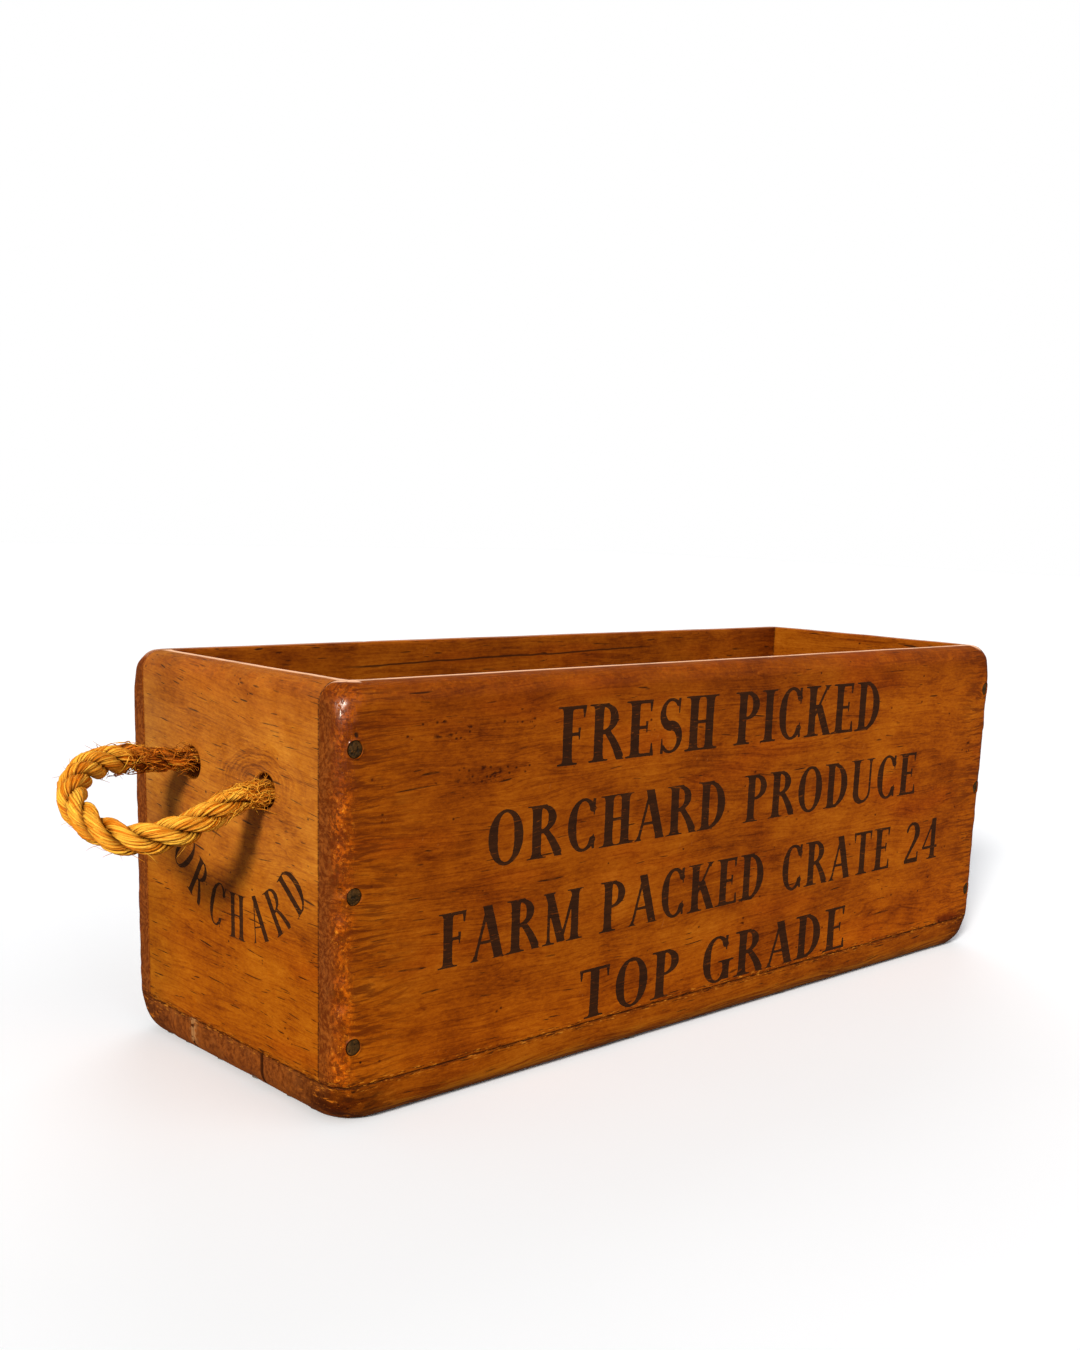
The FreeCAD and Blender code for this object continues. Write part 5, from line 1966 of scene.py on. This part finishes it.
        # painted shade: darker the nearer a yarn point lies to the rope's middle, none on loose fibres
        deep = np.where((kind == FIBRE) | (kind == FRIZZ), 0.0, smooth((0.90 - reach) / 0.40))
        return {"stain": stain, "deep": deep}


BLEND_Z = 0.1425                     # metres
BLEND_X = (0.2535, 0.2835)           # metres from the middle: rope ends to moving loop


def rope_handle(side, material):
    rope, sign, ends = Rope(side), SIDES[side], side + "_rope_ends"
    tubes, loose = Tubes(), Tubes()
    rope.strands(tubes)
    rope.fibres(tubes)
    rope.wisps(tubes)
    rope.frizz(loose)
    ob = tubes.mesh(side + "_rope", rope.marks)
    give(ob, material)
    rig.blend(ob, ends, side + "_handle", *((sign * x, 0.0, BLEND_Z) for x in BLEND_X))
    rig.replaces(ob, side + "_rope_loop", side + "_rope_front_knot", side + "_rope_rear_knot")
    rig.slot(ob, "rope")
    # the frizz stays at the board when the rope slides
    ob = loose.mesh(side + "_rope_frizz", rope.marks)
    give(ob, material)
    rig.blend(ob, "crate", ends, (sign * (HX + 0.2) * MM, 0.0, BLEND_Z),
             (sign * (HX + 10.0) * MM, 0.0, BLEND_Z))
    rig.slot(ob, "rope")


# ---------------------------------------------------------------------- building
def attach(piece, node, slot):
    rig.ride(piece, "crate")
    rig.replaces(piece, node)
    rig.slot(piece, slot)


boards = {
    "front_board": long_board("front_board_wood", -1),
    "back_board": long_board("back_board_wood", 1),
    "left_end_panel": end_panel("left_end_panel_wood", -1),
    "right_end_panel": end_panel("right_end_panel_wood", 1),
}
for which in ("front", "middle", "rear"):
    boards["bottom_slat_" + which] = slat("bottom_slat_%s_wood" % which, which)
for node, piece in boards.items():
    attach(piece, node, "stained_wood")
    give(piece, wood(node + "_stain", **LOOKS[node]))

filler_material = filler("filler")
for sign_y, end_y in ((-1, "front"), (1, "back")):
    for sign_x, end_x in ((-1, "left"), (1, "right")):
        node = "%s_%s_plugs" % (end_y, end_x)
        piece = plugs(node + "_filler", sign_y, sign_x)
        give(piece, filler_material)
        attach(piece, node, "filler")

screw_steel = steel("screw_steel", tint=(0.50, 0.47, 0.42), rust=0.5)
nail_steel = steel("nail_steel", tint=(0.36, 0.34, 0.31), rust=0.9)
for node, ob in frame["nodes"].items():
    if node.endswith("_screws"):
        give(ob, screw_steel)
    elif node.endswith("_nails"):
        give(ob, nail_steel)

rope_fibre = rope_material("rope_fibre")
for side in SIDES:
    rope_handle(side, rope_fibre)


# ------------------------------------------------------------------------- stage
def make_floor(half=9):
    me = bpy.data.meshes.new("floor")
    me.from_pydata([(-half, -half, 0), (half, -half, 0), (half, half, 0), (-half, half, 0)],
                   [], [(0, 1, 2, 3)])
    floor = link("floor", me)
    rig.stage(floor)
    s = Shader("floor")
    # near white to the camera, a dull brown to everything it lights
    seen = s.mix(s.noise(s.coords(), scale=6.0), (0.872, 0.962, 1.112), (0.895, 0.985, 1.140))
    camera_ray = s.node("LightPath", output="Is Camera Ray")
    give(floor, s.surface({"Base Color": s.mix(camera_ray, (0.22, 0.19, 0.16), seen),
                           "Roughness": 0.9, "Specular IOR Level": 0.0}))


def make_world():
    """Separate backgrounds for diffuse light, reflections and the camera."""
    world = bpy.data.worlds.new("studio")
    bpy.context.scene.world = world
    world.use_nodes = True
    tree = world.node_tree
    tree.nodes.clear()

    def background(colour, strength):
        node = tree.nodes.new("ShaderNodeBackground")
        node.inputs["Color"].default_value = (*colour, 1)
        node.inputs["Strength"].default_value = strength
        return node.outputs[0]

    def mix(amount, a, b):
        node = tree.nodes.new("ShaderNodeMixShader")
        for socket, value in zip(node.inputs, (amount, a, b)):
            tree.links.new(value, socket)
        return node.outputs[0]

    out = tree.nodes.new("ShaderNodeOutputWorld")
    ray = tree.nodes.new("ShaderNodeLightPath").outputs
    diffuse = background((1.0, 0.93, 0.84), strength=0.30)
    glossy = background((1.0, 0.92, 0.86), strength=0.20)
    seen = background((1.0, 1.0, 1.0), strength=1.0)
    lighting = mix(ray["Is Glossy Ray"], diffuse, glossy)
    tree.links.new(mix(ray["Is Camera Ray"], lighting, seen), out.inputs[0])


def sun(name, towards, strength, angle, colour):
    """towards: direction from the crate to the sun. angle: its apparent size in degrees."""
    data = bpy.data.lights.new(name, "SUN")
    data.energy = strength
    data.angle = math.radians(angle)
    data.color = colour
    ob = link(name, data)
    ob.rotation_euler = Vector(towards).normalized().to_track_quat("Z", "Y").to_euler()
    return ob


def make_camera(place, yaw, pitch, roll, lens, shift_y):
    """yaw: degrees from +Y towards +X. pitch: degrees downwards."""
    yaw, pitch, roll = (math.radians(a) for a in (yaw, pitch, roll))
    forward = Vector((math.sin(yaw) * math.cos(pitch), math.cos(yaw) * math.cos(pitch),
                      -math.sin(pitch)))
    level_right = Vector((math.cos(yaw), -math.sin(yaw), 0))
    level_up = level_right.cross(forward)
    right = math.cos(roll) * level_right + math.sin(roll) * level_up
    up = -math.sin(roll) * level_right + math.cos(roll) * level_up
    data = bpy.data.cameras.new("camera")
    camera = link("camera", data)
    matrix = Matrix((right, up, -forward)).transposed().to_4x4()
    matrix.translation = Vector(place)
    camera.matrix_world = matrix
    data.sensor_width = 36.0
    data.lens = lens
    data.shift_y = shift_y
    data.clip_start = 0.01
    bpy.context.scene.camera = camera


make_floor()
make_world()
sun("key", (-0.77, -0.43, 0.47), strength=4.3, angle=11.0, colour=(1.0, 0.90, 0.76))
sun("fill_front", (0.25, -0.85, 0.55), strength=0.75, angle=70.0, colour=(1.0, 0.92, 0.82))
back_fill = sun("fill_back", (0.62, 0.62, 0.42), strength=0.95, angle=40.0,
                colour=(1.0, 0.93, 0.86))
back_fill.visible_glossy = False
make_camera(place=(-0.599990, -0.582526, 0.260278), yaw=43.2038, pitch=12.1937, roll=1.9039,
            lens=39.71413333, shift_y=0.1240281481)
bpy.context.scene.view_settings.view_transform = "Standard"

end_box = [[float(c) for c in corner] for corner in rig.bounds()]
json.dump({"cad": CAD_BOX, "visual": end_box}, open("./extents.json", "w"))
